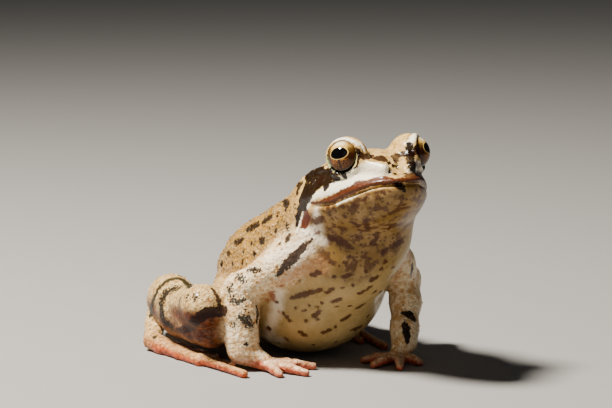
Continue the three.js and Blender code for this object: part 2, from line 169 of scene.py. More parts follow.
def egg(at, axes, wide, front, back, up, down, power=2.0, taper=0.0, taper_up=0.0, taper_down=0.0, k=None):
    """Like an ellipsoid with its own size in each direction; a higher power makes it squarer from the side."""
    def distance(x, y, z):
        qx, qy, qz = own_axes(at, axes, x, y, z)
        qy = -qy
        ahead = np.clip(qy, -back, front)
        w = wide + taper * ahead
        h = np.where(qz > 0, up + taper_up * ahead, down + taper_down * ahead)
        length = np.where(qy > 0, front, back)
        rho = np.sqrt((qx / w) ** 2 + (qz / h) ** 2 + 1e-6)
        eta = np.abs(qy) / length + 1e-6
        s = (rho ** power + eta ** power) ** (1 / power)
        across = (qx / w ** 2) ** 2 + (qz / h ** 2) ** 2
        slope2 = s ** (2 - 2 * power) * (
            rho ** (2 * power - 4) * across + eta ** (2 * power - 2) / length ** 2)
        return (s - 1) / np.sqrt(slope2 + 1e-3 * (s < 0.5) + 1e-7)

    r = max(wide, front, back, up, down)
    return Shape(distance, np.asarray(at) - r, np.asarray(at) + r, k)

# %% [markdown]
# ## The head's own frame
# The head is turned and lifted, so its parts are placed in a frame of its own: x to the frog's left, ahead to the
# nose, and up from the line of the mouth. The eyes sit high on the sides and look outwards and a little ahead.

# %% Head frame and eyes
HEAD_AT = np.array([-2.0, -10.7, 36.5])
HEAD = turned(14, 15.5)
SIDES = {"r": -1, "l": 1}


def head_dir(x, ahead, up):
    return HEAD[0] * x - HEAD[1] * ahead + HEAD[2] * up


def head_at(x, ahead, up):
    return HEAD_AT + head_dir(x, ahead, up)


def head_frame(points):
    """x, ahead and up of points in the head's frame."""
    q = (points - HEAD_AT) @ HEAD.T
    return q[:, 0], -q[:, 1], q[:, 2]


EYE_RADIUS = 3.45
RIM_OUT, RIM_RADIUS = 1.1, 3.27  # how far out from the ball's centre the lids end, and how wide they open
DRUM = (10.6, 2.6, 4.9)  # the ear, in the head's frame
LID_DROP = 0.32  # the opening sits this much lower than the ball, so the upper lid covers more of it
eyes = {side: head_at(s * 7.75, 10.2, 8.3) for side, s in SIDES.items()}
eye_axes = {side: unit(head_dir(s * 0.77, 0.63, 0.08)) for side, s in SIDES.items()}
print("eyes", {side: at.round(1).tolist() for side, at in eyes.items()})

# %% [markdown]
# ## Flesh
# The body is a list of named pieces. Each piece has its shapes, the blend inside the piece, and the blend where it
# joins the body. Muscles sit on the trunk with wide blends, and shins and feet with narrow ones, because their skin
# lies close to the bone.

# %% Trunk and head
pieces = {}
pieces["trunk"] = (5, 5, [
    ellipsoid((0.8, 10.4, 16), (16.1, 17.5, 15.2), turned(0, 28)),  # belly
    ellipsoid((-0.8, -3.1, 26), (12, 12, 12.5), turned(8, 35)),  # chest
    ellipsoid((1, -11.5, 29.3), (7.3, 6.2, 6.5), turned(8, 35)),  # throat
    ellipsoid((-1.5, 25, 21.6), (7.5, 6.5, 4.3), turned(0, 35), 2.5),  # hump over the hips
    ellipsoid((-1.4, 1, 32.3), (10.5, 14.5, 6.6), turned(6, 33)),  # shoulders and nape
    ellipsoid((-1.4, 12.5, 25.4), (11, 12, 7.6), turned(0, 35)),  # back
    ellipsoid((0, 22, 18.5), (11.5, 13, 9.5), turned(0, 38)),  # loin
    ellipsoid((0, 29, 11.5), (10, 9, 7.5), turned(0, 45)),  # rump
    cone((0, 33, 8), (0, 37, 6.5), 5, 3)])  # vent
pieces["head"] = (3, 4, [
    egg(head_at(0, 0, 1.4), HEAD, wide=12.2, front=20.4, back=12, up=5.6, down=2.6, taper=-0.11, taper_up=-0.05),
    egg(head_at(0, 1, 2), HEAD, wide=10.6, front=15.5, back=12, up=8.6, down=4, power=2.2, taper=-0.15),
    egg(head_at(0, 0, -0.2), HEAD, wide=12, front=20, back=11, up=2, down=8, taper=-0.1, taper_down=-0.12, k=0.8)])
for s in SIDES.values():
    pieces["head"][2].append(ellipsoid(head_at(s * 7, 9.6, 8.1), (4.2, 4.9, 4.4), HEAD, 1.5))  # brow
    pieces["head"][2].append(cone(head_at(s * 5.9, 12.5, 6.7), head_at(s * 3, 17.6, 4.6), 1.5, 1.1, 1.6))  # ridge
print("head and trunk:", sum(len(p[2]) for p in pieces.values()), "shapes")

# %% [markdown]
# ## Limbs
# A limb is given by its joints, as it lies in this pose, with a radius at each. Fingers and toes are thin chains
# that swell a little at the knuckles and lie on the floor.

# %% Arms and hands
def at(*p):
    return np.array(p, float)


def between(a, b, t):
    return a + (b - a) * t


ARMS = {
    "r": dict(shoulder=at(-9.5, -4, 27.5), elbow=at(-19.4, 9.2, 16.8), wrist=at(-20.2, 7.3, 4.2),
              palm=at(-17.2, 3.8, 1.9), girths=(3.5, 3.75, 3.25, 2.9),
              tips=[(-9.5, 1.5), (-8.5, -2), (-13.5, -6), (-18.5, -3.5)]),
    "l": dict(shoulder=at(9, -5.5, 25), elbow=at(18.8, 0, 16), wrist=at(12.3, -7.5, 4.2),
              palm=at(9.8, -8.6, 1.9), girths=(3.15, 3.15, 2.8, 2.6),
              tips=[(3.5, -4.5), (2.5, -9), (5.5, -14), (11.5, -13.5)]),
}
for side, s in SIDES.items():
    arm = ARMS[side]
    shoulder, elbow, wrist, palm, girths = (arm[n] for n in ("shoulder", "elbow", "wrist", "palm", "girths"))
    pieces["upper_arm_" + side] = (2.5, 3, chain(
        (shoulder, 4.2), (between(shoulder, elbow, 0.5), 3.6), (elbow, 3.3)))
    pieces["forearm_" + side] = (2, 1.5, chain(
        (elbow, girths[0]), (between(elbow, wrist, 0.38) + at(s * 0.2, 0, 0), girths[1]),
        (between(elbow, wrist, 0.8), girths[2]), (wrist, girths[3])))
    hand = chain((wrist, girths[3]), (palm, 1.9))
    for tip in arm["tips"]:
        tip = at(*tip, 0.75)
        base = between(palm, tip, 0.22)
        base[2] = 1.4
        joint = between(base, tip, 0.55)
        joint[2] = 1.3
        hand += chain((base, 1.15), (between(base, joint, 0.6), 0.85), (joint, 0.95),
                      (between(joint, tip, 0.5), 0.76), (tip, 0.85), k=0.7)
    pieces["hand_" + side] = (1.2, 1, hand)

print("arms and hands:", sum(len(pieces[n + side][2]) for n in ("upper_arm_", "forearm_", "hand_") for side in SIDES))

# %% [markdown]
# ## Hind legs
# A sitting frog folds each hind leg in three: the thigh runs forward to the knee, the shank runs back beside it to
# the heel, and the long foot lies forward on the floor under both. Each thick muscle gets its own stops or
# ellipsoid.

# %% Legs and feet
LEGS = {
    "r": dict(hip=at(-5.5, 27.5, 10), full=at(-15.7, 22, 8.6), knee=at(-25.9, 13.4, 13.4), heel=at(-15, 45, 8.4),
              ankle=at(-25, 34, 2.3), tip=at(-24.4, 1, 0.8),
              calf=ellipsoid((-20.2, 33.4, 11), (5, 10, 5.6), turned(18.6, 8)),
              # this knee is lifted, and the muscles under it hang down towards the foot
              under_thigh=[(at(-13, 24, 8), 5.6), (at(-22.2, 15.6, 8.2), 4.7)],
              under_calf=[(at(-23, 19, 8), 4.2), (at(-21.4, 28, 8.6), 4.6), (at(-19, 36.5, 7.8), 3.5)]),
    "l": dict(hip=at(5.5, 27, 10.5), full=at(13, 23.5, 9), knee=at(19.8, 16.5, 9.2), heel=at(15, 45.5, 8),
              ankle=at(24, 34.5, 2.3), tip=at(15.5, 3, 0.8),
              calf=ellipsoid((18.2, 31.5, 9), (4.7, 11, 5), turned(-10.5, 3)), under_thigh=[], under_calf=[]),
}
TOES = [(0.34, -5.2, 0.8), (0.52, -4.6, 0.85), (0.76, -2.6, 0.9), (1, 0, 0.95), (0.56, 1, 0.9)]
toe_lines = {}
for side, s in SIDES.items():
    leg = LEGS[side]
    hip, knee, heel, ankle, tip = (leg[n] for n in ("hip", "knee", "heel", "ankle", "tip"))
    pieces["thigh_" + side] = (2.5, 2, chain((hip, 6.6), (leg["full"], 6), (knee, 4.5)) + chain(*leg["under_thigh"]))
    pieces["shank_" + side] = (1.6, 0.8, chain(
        (knee, 4.6), (between(knee, heel, 0.3), 4), (heel, 3.5)) + [leg["calf"]] + chain(*leg["under_calf"]))
    pieces["tarsus_" + side] = (1, 0.8, chain(
        (heel, 3), (between(heel, ankle, 0.6) + at(s * 0.3, 0, 0), 2.2), (ankle, 2.1)))
    sole = between(ankle, tip, 0.12)
    sole[2] = 1.6
    foot = chain((ankle, 2), (sole, 1.9))
    along = unit(tip - ankle)
    for share, offset, radius in TOES:
        base = ankle + 3 * along + at(s * offset * 0.25, 0, 0)
        end = between(ankle, tip, share) + at(s * offset, 0, 0)
        base[2], end[2] = 1.5, 0.8
        middle = between(base, end, 0.5)
        middle[2] = 1.25
        toe_lines.setdefault(side, []).append((base, middle, end))
        foot += chain((base, 1.5), (between(base, middle, 0.55), 1.0), (middle, 1.15),
                      (between(middle, end, 0.5), radius * 0.85), (end, radius), k=0.7)
    pieces["foot_" + side] = (1, 0.5, foot)
print(len(pieces), "pieces of flesh")

# %% [markdown]
# ## Webs
# The skin between the toes of the hind feet is a thin sheet with a hollow edge. As a distance, it is a flat outline
# seen from above, cut to a thin layer near the floor.

# %% Webs between the toes
def web(one, two, thick=0.34, height=0.62):
    """The web between two toes, each given by three points."""
    def along(line, t):
        a, b, c = line
        return between(a, b, 2 * t) if t < 0.5 else between(b, c, 2 * t - 1)

    lengths = [sum(np.linalg.norm(q - p) for p, q in zip(l, l[1:])) for l in (one, two)]
    reach = 0.8 * min(lengths)
    p = [along(one, t * reach / lengths[0]) for t in (0, 0.5, 1)]
    q = [along(two, t * reach / lengths[1]) for t in (0, 0.5, 1)]
    hollow = between(between(p[2], q[2], 0.5), between(p[0], q[0], 0.5), 0.25)
    rim = np.array([*p, hollow, *q[::-1]])[:, :2]

    def distance(x, y, z):
        x, y = np.broadcast_arrays(x, y)
        best, inside = np.full(x.shape, 1e9), np.zeros(x.shape, bool)
        for a, b in zip(rim, np.roll(rim, -1, axis=0)):
            e = b - a
            t = np.clip(((x - a[0]) * e[0] + (y - a[1]) * e[1]) / (e @ e), 0, 1)
            best = np.minimum(best, (x - a[0] - t * e[0]) ** 2 + (y - a[1] - t * e[1]) ** 2)
            cross = (a[1] > y) != (b[1] > y)
            step = e[1] if abs(e[1]) > 1e-9 else 1e-9
            inside ^= cross & (x < a[0] + (y - a[1]) * e[0] / step)
        flat = np.where(inside, -1, 1) * np.sqrt(best)
        return carve(flat, np.abs(z - height) - thick, 0.3)

    return Shape(distance, [*rim.min(0), 0], [*rim.max(0), 1.2], 0.8)


for side, lines in toe_lines.items():
    pieces["foot_" + side][2].extend(web(a, b) for a, b in zip(lines, lines[1:]))
print("shapes in a foot with its webs:", len(pieces["foot_r"][2]))

# %% [markdown]
# ## One field for the whole body
# The distances are worked out on a grid, closer together round the head. Each shape only touches the part of the
# grid near it, which keeps this to a few seconds. First a shape is blended into its own piece, then the piece into
# the body.

# %% Filling the grid
FAR = 8.0


def window(axes, low, high):
    """The part of the grid that a box covers."""
    return tuple(slice(max(0, np.searchsorted(a, l) - 1), np.searchsorted(a, h) + 1)
                 for a, l, h in zip(axes, low, high))


def on_grid(axes, part):
    """The x, y and z of that part, shaped so that they spread over it."""
    return [a[p].reshape([-1 if i == j else 1 for j in range(3)]) for i, (a, p) in enumerate(zip(axes, part))]


def fill_grid(axes):
    whole = np.full([len(a) for a in axes], FAR, np.float32)
    for inner, join, shapes in pieces.values():
        pad = max(inner, join) + 2
        low = np.min([s.low for s in shapes], axis=0) - pad
        high = np.max([s.high for s in shapes], axis=0) + pad
        outer = window(axes, low, high)
        inside_axes = [a[p] for a, p in zip(axes, outer)]
        own = np.full([len(a) for a in inside_axes], FAR, np.float32)
        for shape in shapes:
            k = shape.k or inner
            part = window(inside_axes, shape.low - k - 2, shape.high + k + 2)
            own[part] = blend(own[part], shape.distance(*on_grid(inside_axes, part)), k)
        whole[outer] = blend(whole[outer], own, join)
    return whole


def cut(grid, axes, low, high, change):
    """Changes the grid inside a box: change(values, x, y, z) gives the new values."""
    part = window(axes, low, high)
    grid[part] = change(grid[part], *on_grid(axes, part))


def grid_lines(low, high, fine_low, fine_high, fine, coarse):
    """Places from low to high, closer together between fine_low and fine_high."""
    return np.concatenate([
        np.arange(low, fine_low, coarse), np.arange(fine_low, fine_high, fine), np.arange(fine_high, high, coarse)])


COARSER = 1.0
axes = [grid_lines(-33, 29, -15, 13, 0.4 * COARSER, 0.5 * COARSER),
        grid_lines(-32, 52, -32, -9, 0.36 * COARSER, 0.48 * COARSER),
        grid_lines(-1, 54, 35, 54, 0.36 * COARSER, 0.46 * COARSER)]
grid = fill_grid(axes)
print("grid", grid.shape)

# %% [markdown]
# ## Reading the field
# The grid can be read at any point between its lines, together with its slope. A point is then moved onto the skin
# by stepping down the slope, as a ball rolls to the bottom of a bowl.

# %% Reading the grid
CORNERS = [(i, j, k) for i in (0, 1) for j in (0, 1) for k in (0, 1)]


def read_grid(grid, axes, points):
    """The grid's value at points, and its slope there."""
    cell = [np.clip(np.searchsorted(a, p) - 1, 0, len(a) - 2) for a, p in zip(axes, points.T)]
    t = [(p - a[c]) / (a[c + 1] - a[c]) for a, p, c in zip(axes, points.T, cell)]
    value, grad = 0.0, np.zeros(points.shape)
    for corner in CORNERS:
        w = [ti if c else 1 - ti for ti, c in zip(t, corner)]
        f = grid[tuple(ci + c for ci, c in zip(cell, corner))]
        value = value + w[0] * w[1] * w[2] * f
        for i in range(3):
            others = [w[j] for j in range(3) if j != i]
            sign = 1 if corner[i] else -1
            grad[:, i] += sign * others[0] * others[1] * f / (axes[i][cell[i] + 1] - axes[i][cell[i]])
    return value, grad


def to_skin(points, passes=6):
    """Moves points along the field's slope onto the skin."""
    points = np.array(points, float)
    for _ in range(passes):
        value, grad = read_grid(grid, axes, points)
        points -= value[:, None] * grad / np.maximum((grad ** 2).sum(1), 0.2)[:, None]
    return points


print("the chest at", to_skin([(0, -8, 20)]).round(1).tolist())

# %% [markdown]
# ## Where a mark goes
# A mark is placed as the camera sees it: a run of stops in the view, each with a half-width in pixels. A ray from
# the camera through each stop finds the skin, so the mark becomes a chain of small balls in space. A mark on one
# side is also carried to the other side, where the frog has its twin.

# %% Rays from the camera
def rays_through(pixels):
    """Directions from the lens through points of the view."""
    pixels = np.array(pixels, float).reshape(-1, 2)
    across, down = pixels[:, :1] - VIEW[0] / 2, pixels[:, 1:] - VIEW[1] / 2
    return unit(look * FOCAL_PIXELS + across * right - down * above)


def cast(pixels):
    """Where the rays through these points of the view meet the body, or pass closest to it."""
    rays = rays_through(pixels)
    far = np.full(len(rays), STAND_BACK - 75.0)
    best, closest = far.copy(), np.full(len(rays), 99.0)
    for _ in range(150):
        value, _ = read_grid(grid, axes, lens_at + rays * far[:, None])
        better = value < closest - 0.02
        best, closest = np.where(better, far, best), np.where(better, value, closest)
        far = far + np.where(closest > 0.03, np.clip(value * 0.7, 0.1, 3), 0)
    return lens_at + rays * best[:, None]


def mirrored(points, on_head):
    """The same places on the other side of the body."""
    if on_head:
        x, ahead, up = head_frame(points)
        other = HEAD_AT - np.outer(x, HEAD[0]) - np.outer(ahead, HEAD[1]) + np.outer(up, HEAD[2])
    else:
        other = points * [-1, 1, 1] - [1.5, 0, 0]
    return to_skin(other, passes=8)


print("the chin at", cast([(401, 187)]).round(1).tolist())

# %% [markdown]
# ## Strokes
# A stroke is a chain of balls on the skin. Every point of the skin then knows how far it is from the nearest
# stroke, in millimetres. A distance is smooth, so the material can turn it into a crisp, ragged edge that is finer
# than the mesh, which colours painted on the points couldn't have.

# %% Strokes on the skin
def finer(stops, count=lambda a, b: 5):
    """The same run with more stops: count(a, b) of them from a up to b."""
    stops = np.array(stops, float)
    parts = [np.linspace(a, b, count(a, b), endpoint=False) for a, b in zip(stops, stops[1:])]
    return np.concatenate([*parts, stops[-1:]])


def strokes(*runs):
    """Balls (x, y, z, radius) for each run of (x and y in the view, half-width in pixels) stops."""
    def about_four_pixels(a, b):
        return max(2, int(np.hypot(*(b - a)[:2]) / 4) + 1)

    fine = [finer(np.array(run, float).reshape(-1, 3), about_four_pixels) for run in runs]
    places = cast(np.concatenate(fine)[:, :2])
    depth = (places - lens_at) @ look
    balls = np.column_stack([places, np.concatenate(fine)[:, 2] * depth / FOCAL_PIXELS])
    return np.split(balls, np.cumsum([len(f) for f in fine])[:-1])


def laid(*stops):
    """Balls along a run of (x, y, z, radius) stops, dropped onto the skin."""
    fine = finer(stops)
    return np.column_stack([to_skin(fine[:, :3]), fine[:, 3]])


def both_sides(marks, on_head=True):
    """The strokes, and the same strokes on the other side."""
    balls = np.concatenate(marks)
    other = np.column_stack([mirrored(balls[:, :3], on_head), balls[:, 3]])
    return marks + np.split(other, np.cumsum([len(m) for m in marks])[:-1])


def from_strokes(points, marks):
    """Distance of each point from the nearest stroke; below zero inside it."""
    best = np.full(len(points), 9.0)
    x, y, z = points.T
    for balls in marks:
        low, high = balls[:, :3].min(0) - 4, balls[:, :3].max(0) + 4
        near = ((points > low) & (points < high)).all(1)
        if not near.any():
            continue
        runs = list(zip(balls, balls[1:])) or [(balls[0], balls[0] + [1e-3, 0, 0, 0])]
        for a, b in runs:
            d = cone(a[:3], b[:3], a[3], b[3]).distance(x[near], y[near], z[near])
            best[near] = np.minimum(best[near], d)
    return best


# %% [markdown]
# ## The marks of the head
# The dark mask behind the eye and the pale line over the lip tell this species from others. Both are drawn once, on
# the right side, and mirrored in the head's own frame. The two FAR marks are only on the frog's left side: they are
# painted shade, dark patches on the side of the head that is turned away from the lamp.

# %% Marks of the head
MASK = both_sides(strokes(
    ((327, 165, 5), (321, 171, 9), (318, 181, 10.5), (311, 190, 8.5), (304.5, 200, 5.6), (299.5, 210, 3.6),
     (297, 225, 3)),
    ((327, 175, 7), (326, 187, 4.4)), ((317, 166, 5), (310, 177, 6.5), (305, 189, 5.5), (300, 200, 3.4)),
    ((314, 168, 4.5), (314.5, 176, 6), (312, 186, 6)), ((331, 171, 4.5), (330, 181, 4)),
    ((330, 174, 4.4), (335, 178.5, 4.6), (339, 178, 2)), ((343, 174, 2.6), (345, 177.5, 2.6)),
    ((349, 142.6, 0.9), (354, 146.5, 1.7), (358.5, 151.5, 3.4), (358, 157, 3.2), (354, 164, 2.4), (347, 171.5, 2)),
    ((328, 167, 2.6), (334, 174, 2.2), (345, 173, 1.8), (354, 167, 2), (359, 159, 2))))
MASK_PATH = (  # x, ahead, up and radius, in the head's frame
    (10.2, 6, 6.6, 1.5), (10.7, 3.2, 5, 2.3), (11.1, 0.4, 3.2, 1.9), (11.3, -2.6, 0.8, 1.1))
MASK_BEHIND_EYE = [laid(*((*head_at(s * x, ahead, up), r) for x, ahead, up, r in MASK_PATH)) for s in SIDES.values()]
EAR_MARK = 1.05  # its radius
DRUMS = [laid((*head_at(s * DRUM[0], *DRUM[1:]), EAR_MARK)) for s in SIDES.values()]
BEFORE_EYE = both_sides(strokes(
    ((361, 154.5, 3.8), (367, 157, 4.8), (373, 156, 2.6)), ((375, 158, 3.8), (380, 158, 5.2), (385, 160.5, 3.6))))
# Dark dots on the snout. The two at the nostrils, near (394, 167) and (410, 170) in the view, are painted shade in the
# openings.
SNOUT_DOTS = both_sides(strokes(
    ((388.8, 161.8, 2.2), (390, 163.8, 2.4)), ((393.8, 166.4, 2.4), (395.8, 168.4, 2.4)), (395.4, 174, 2.3),
    ((409, 168, 1.8), (411, 172, 1.4)), (427, 191, 1.4), (401, 174, 1.0)))
CHIN_SPOT = strokes(((397, 185, 3.4), (401, 187, 4.4), (404, 190, 2.6)))
# Painted shade: dark patches at the lid and on the snout of the far side, which faces away from the lamp.
FAR_LID_PAINTED_SHADE = strokes(((409.5, 144, 3.2), (409.5, 153, 5), (411, 162, 5), (415, 169, 3.6)))
FAR_SNOUT_PAINTED_SHADE = strokes(((407, 176, 3.6), (417, 174, 4.4), (423, 172, 2.4)), ((413, 163, 3), (420, 167, 3.6)))
# The brown band along the upper lip is partly the lip's own brown edge and partly painted shade under the overhanging
# lip.
LIP = both_sides(strokes((
    (311, 203, 1.3), (318, 203, 2.4), (330, 200.5, 3.9), (345, 193.5, 4.7), (358, 187, 4.4), (370, 183, 4.4),
    (380, 180.4, 5), (388, 180.5, 4.8), (396, 181.5, 3), (404, 180, 2.6), (413, 179, 2.6), (425, 178, 2.6))))
BROW = both_sides(strokes((
    (327, 149, 1.2), (330, 143.6, 2.4), (336, 140, 4), (345, 138.6, 4.6), (354, 140.4, 4.4), (361, 144.6, 3.4),
    (364, 149, 1.6))))
STRIPE = both_sides(strokes(
    ((296, 232, 1.6), (300, 222, 2), (305, 211, 2.4), (311, 198.5, 3), (322, 191, 3.4), (334, 184, 4.4),
     (348, 177, 5.6), (362, 171, 6.6), (374, 167.5, 6), (386, 168, 3.4)),
    ((318, 196.5, 2.4), (330, 192, 3), (345, 185.5, 3.6), (360, 179, 3.6), (374, 174.5, 3.2), (390, 172, 2.4)),
    ((337, 204, 1.3), (351, 197.4, 1.8), (361.4, 192.2, 1.4), (374, 188, 0.9)), ((301, 230, 1.4), (307, 231, 1.8))))
# Pale stripes on the shoulder, jaw and arm. The last stroke is painted light: a pale strip on the belly, between the
# arm and its shade, where the lamp falls.
SHOULDER_STRIPES_AND_PAINTED_LIGHT = both_sides(strokes(
    ((299, 233, 3), (307, 232, 5), (315, 234, 6.5), (322, 241, 4.5)),
    ((303, 240, 4), (294, 246, 4.6), (283, 253, 4.6), (268, 260, 4)), ((311, 248, 3), (300, 258, 3.4), (292, 266, 3)),
    ((317, 209, 4), (317, 218, 5), (319, 229, 5)),
    ((279, 291, 6), (277, 306, 6), (272, 322, 5), (268, 338, 4))), on_head=False)
JAW_PATCH = both_sides(strokes(((305.5, 210, 4), (306.5, 217, 6.5), (304, 225, 5))))
JAW_SPOTS = strokes(
    ((315, 222, 4.4), (322, 217, 3.2)), (329, 214, 3.2), ((324, 207, 2.2), (334, 208, 2.6)), (343, 206, 2.4),
    (354, 205, 2.8), (364, 200, 2), ((377, 192, 2.6), (382, 191, 2)), (345, 216, 2.6), (390, 192, 1.8),
    (412, 186, 1.6), (420, 196, 2), (424, 188, 1.6), (318, 233, 3.4), (334, 226, 3), (371, 209, 2.4))
print(len(MASK), "strokes in the masks,", len(JAW_SPOTS), "spots on the right jaw")

# %% [markdown]
# ## The marks of the body
# The back has dark spots, the belly has small slanting dashes, and the thighs, shins and arms have cross-bars.
# Those in view are listed one by one, and the rest are scattered with a fixed seed.

# %% Marks of the body
ARM_BAR = strokes((
    (313.5, 237, 1), (308, 243, 2.6), (300, 251, 4.4), (292, 259, 5.2), (285, 266, 4.2), (280, 272, 2.6),
    (276.5, 277, 1)))
BACK_SPOTS = strokes(
    ((286, 200, 4.4), (287.5, 206, 5)), ((298, 192, 5), (302, 184, 5)), (305.5, 178.5, 4), (288.3, 238, 5.2),
    ((287.5, 224, 3.2), (288.5, 230, 2.8)), (262.5, 240, 4.6), ((249, 230, 3.6), (258, 225, 4.2)),
    ((264, 222.5, 3.6), (271, 218, 3.6)), (278, 214, 3), ((237, 243, 3.6), (243, 240, 3)), (229, 254, 3.8),
    (222.5, 264, 3.6), (244, 251, 3.2), (276, 231, 2.8), (270, 228, 2.2), (252, 243, 2.4), (233, 264, 2.8),
    (255, 253, 3), (267, 249, 2.6), (243, 262, 2.8), (280, 244, 2.6), (295, 206, 3), (297, 216, 3.4), (279, 222, 2.4))
ARM_SPECKS = strokes(
    ((232, 299, 2.6), (237, 303, 3.1), (243, 300, 2.4)), ((240, 318, 3), (246, 320, 4.2), (251, 326, 3.6)),
    (233, 325, 2.6), ((238, 276, 3.4), (243, 280, 2.8)), ((249, 269.5, 3.2), (259, 271, 3.4)), (246, 310, 2.1),
    ((232, 286, 2.8), (229, 292, 2.3)))
ARM_DARK = strokes(
    ((256.5, 306, 1.6), (258, 315, 3), (256.5, 325, 1.6)), ((243.5, 345, 1), (247, 344, 1.8)),
    ((404, 313.5, 3), (410, 315, 5), (414, 319, 3.6)), ((405, 325, 3.4), (407, 333, 4.2), (407, 341, 2.8)),
    ((412.5, 263, 1.4), (412, 270, 2.2), (411, 277, 1.2)))
BELLY_SPOTS = strokes(
    ((292, 298, 2.6), (304, 294.5, 3.4), (321, 289.5, 2.8)), ((312, 275, 3), (319, 272.5, 3.4)), (300, 280.5, 2.2),
    ((343, 277.5, 2.6), (349, 275, 2.6)), ((327, 292.5, 2.8), (333, 288.5, 2.4)), ((333, 302, 2.6), (340, 299, 3)),
    ((283, 313, 2), (290, 320.5, 2.2)), ((300, 332, 2.8), (306, 336, 2.4)), (269, 328.5, 3), (286, 338.5, 2.6),
    (309.8, 305.2, 2), (263.5, 344, 2.8), ((314, 316, 3), (320, 311, 2.6)), ((323, 333, 2.6), (329, 330, 3)),
    ((352, 330, 2.6), (360, 327, 3)), ((372, 280, 3.2), (377, 277, 2.8)), (375, 292, 2.8),
    ((358, 308, 3), (364, 304, 2.8)), ((343, 320, 2.6), (349, 316, 3)), ((360, 293, 2.6), (367, 289.5, 2.2)),
    (385, 262, 3.2), (306, 321, 2.4), (334, 277, 2.4), (342, 288, 2.2), (322, 303, 2.2), (296, 308, 2),
    (350, 306, 2.4), (368, 316, 2.4), (336, 342, 2.2), (313, 345, 2.2), (381, 269, 2.6), (353, 285, 2.2),
    (366, 272, 2.6), (330, 262, 2.2), (345, 262, 2))
RUSTY = strokes(
    ((271, 292, 3.4), (273, 299, 3.8)), (267, 301, 2.8), (268, 329, 3), (282, 286, 2.6), (209, 301, 2),
    (280, 312, 1.8))
BLUSH = strokes(((318, 262, 6), (305, 266, 5), (292, 275, 5), (280, 284, 4)), ((300, 274, 4), (322, 270, 5)))
CHEST = strokes(((330, 237, 4), (340, 241, 5), (349, 247, 4)), ((396, 244, 5), (402, 241, 4)),
                ((366, 218, 2.4), (368, 231, 3)), (384, 252, 3.6), ((345, 229, 3.4), (336, 226, 2.8)), (356, 236, 3),
                ((372, 243, 3), (378, 236, 2.4)), ((352, 222, 2.4), (358, 226, 2)), (390, 228, 2.6))
CALF_GREEN = strokes(
    ((191, 287, 3.2), (184, 280, 4.2), (177, 278, 3.6), (166, 281, 3), (158, 289, 3), (153, 301, 3),
     (150, 315, 3.2)), (154.5, 337, 3.1))
CALF_DOTS = strokes(
    ((179, 288, 4.2), (172, 289, 5), (165, 294, 5), (161, 302, 5), (161, 312, 4.6), (164, 321, 4.6), (172, 327, 4)),
    ((180, 299, 3.8), (179.5, 304, 3.2)), (187, 297, 3.2), (194.6, 296.6, 3.6))
KNEE_BAND = strokes(((212.5, 289.5, 2.2), (216, 294, 2.8), (218.5, 300, 2.9), (219.5, 307, 3.1)))
# Painted shade: a dark purple band along the underside of the lifted right knee, where the leg turns from the light
# into its own shade. It is on this side only.
KNEE_PAINTED_SHADE = strokes((
    (175, 332, 2.4), (183, 330, 4), (191, 327, 5), (197, 320, 6), (204, 314, 6), (213, 312, 6), (222, 311, 6)))
print(len(BACK_SPOTS), "spots on the back and", len(BELLY_SPOTS), "on the belly are in view")

# %% [markdown]
# ## Eye sockets, lids, mouth, nostrils and ears
# These are cut into the same field, so their edges are as soft as real skin. A lid is a thin ring round the
# opening, thicker above. The mouth is a narrow groove along the line where the lips meet. Nostrils are two small
# pits, and the ear of a frog is a round drum of skin behind the eye.

# %% Details of the head
MOUTH = ([-1, 2.2, 7, 12.7, 16.2, 18.2, 20.5], [-1.0, -0.45, -0.85, 0.1, 0.95, 1.15, 0.9])  # ahead, up
NOSTRIL_IN_VIEW = (394.5, 167.3)
SOCKET_OUT, SOCKET_RADIUS = 3.6, 4.1  # the ball that opens the lids
EAR_RADIUS = 2.0
nostrils = {"r": cast([NOSTRIL_IN_VIEW])[0]}
nostrils["l"] = mirrored(nostrils["r"][None], True)[0]


def distance_to(p, x, y, z):
    return np.sqrt((x - p[0]) ** 2 + (y - p[1]) ** 2 + (z - p[2]) ** 2)


def ring(centre, axis, radius, thin, x, y, z):
    """Distance from a ring, whose thickness may change around it."""
    px, py, pz = x - centre[0], y - centre[1], z - centre[2]
    out = px * axis[0] + py * axis[1] + pz * axis[2]
    across = np.sqrt(np.maximum(px ** 2 + py ** 2 + pz ** 2 - out ** 2, 0))
    return np.sqrt((across - radius) ** 2 + out ** 2) - thin


def bump_at(distance, width):
    """1 where the distance is zero, and fading to 0 over about the width."""
    return np.exp(-(distance / width) ** 2)


def open_lids(f, side, x, y, z):
    eye, axis = eyes[side], eye_axes[side]
    up = ((x - eye[0]) * HEAD[2][0] + (y - eye[1]) * HEAD[2][1] + (z - eye[2]) * HEAD[2][2]) / EYE_RADIUS
    opening = eye + axis * SOCKET_OUT - HEAD[2] * LID_DROP
    rim = eye + axis * RIM_OUT - HEAD[2] * LID_DROP
    f = carve(f, SOCKET_RADIUS - distance_to(opening, x, y, z), 0.5)
    f = blend(f, ring(rim, axis, RIM_RADIUS + 0.12, 0.34 + 0.26 * np.clip(up, -0.2, 1), x, y, z), 0.6)
    # a crease round the lids, where they fold against the brow
    f = f + 0.3 * bump_at(ring(rim - axis * 0.5, axis, RIM_RADIUS + 1.25, 0, x, y, z), 0.3)
    return carve(f, EYE_RADIUS - 0.04 - distance_to(eye, x, y, z), 0.12)


def part_lips(f, x, y, z):
    _, back, up = own_axes(HEAD_AT, HEAD, x, y, z)
    gap = up - np.interp(-back, *MOUTH)
    fade = np.clip((-back - 0.5) / 2.5, 0, 1)
    slit = 0.62 * fade * bump_at(gap, 0.3)
    return f + slit - 0.2 * fade * (bump_at(gap - 0.75, 0.5) + bump_at(gap + 0.75, 0.5))


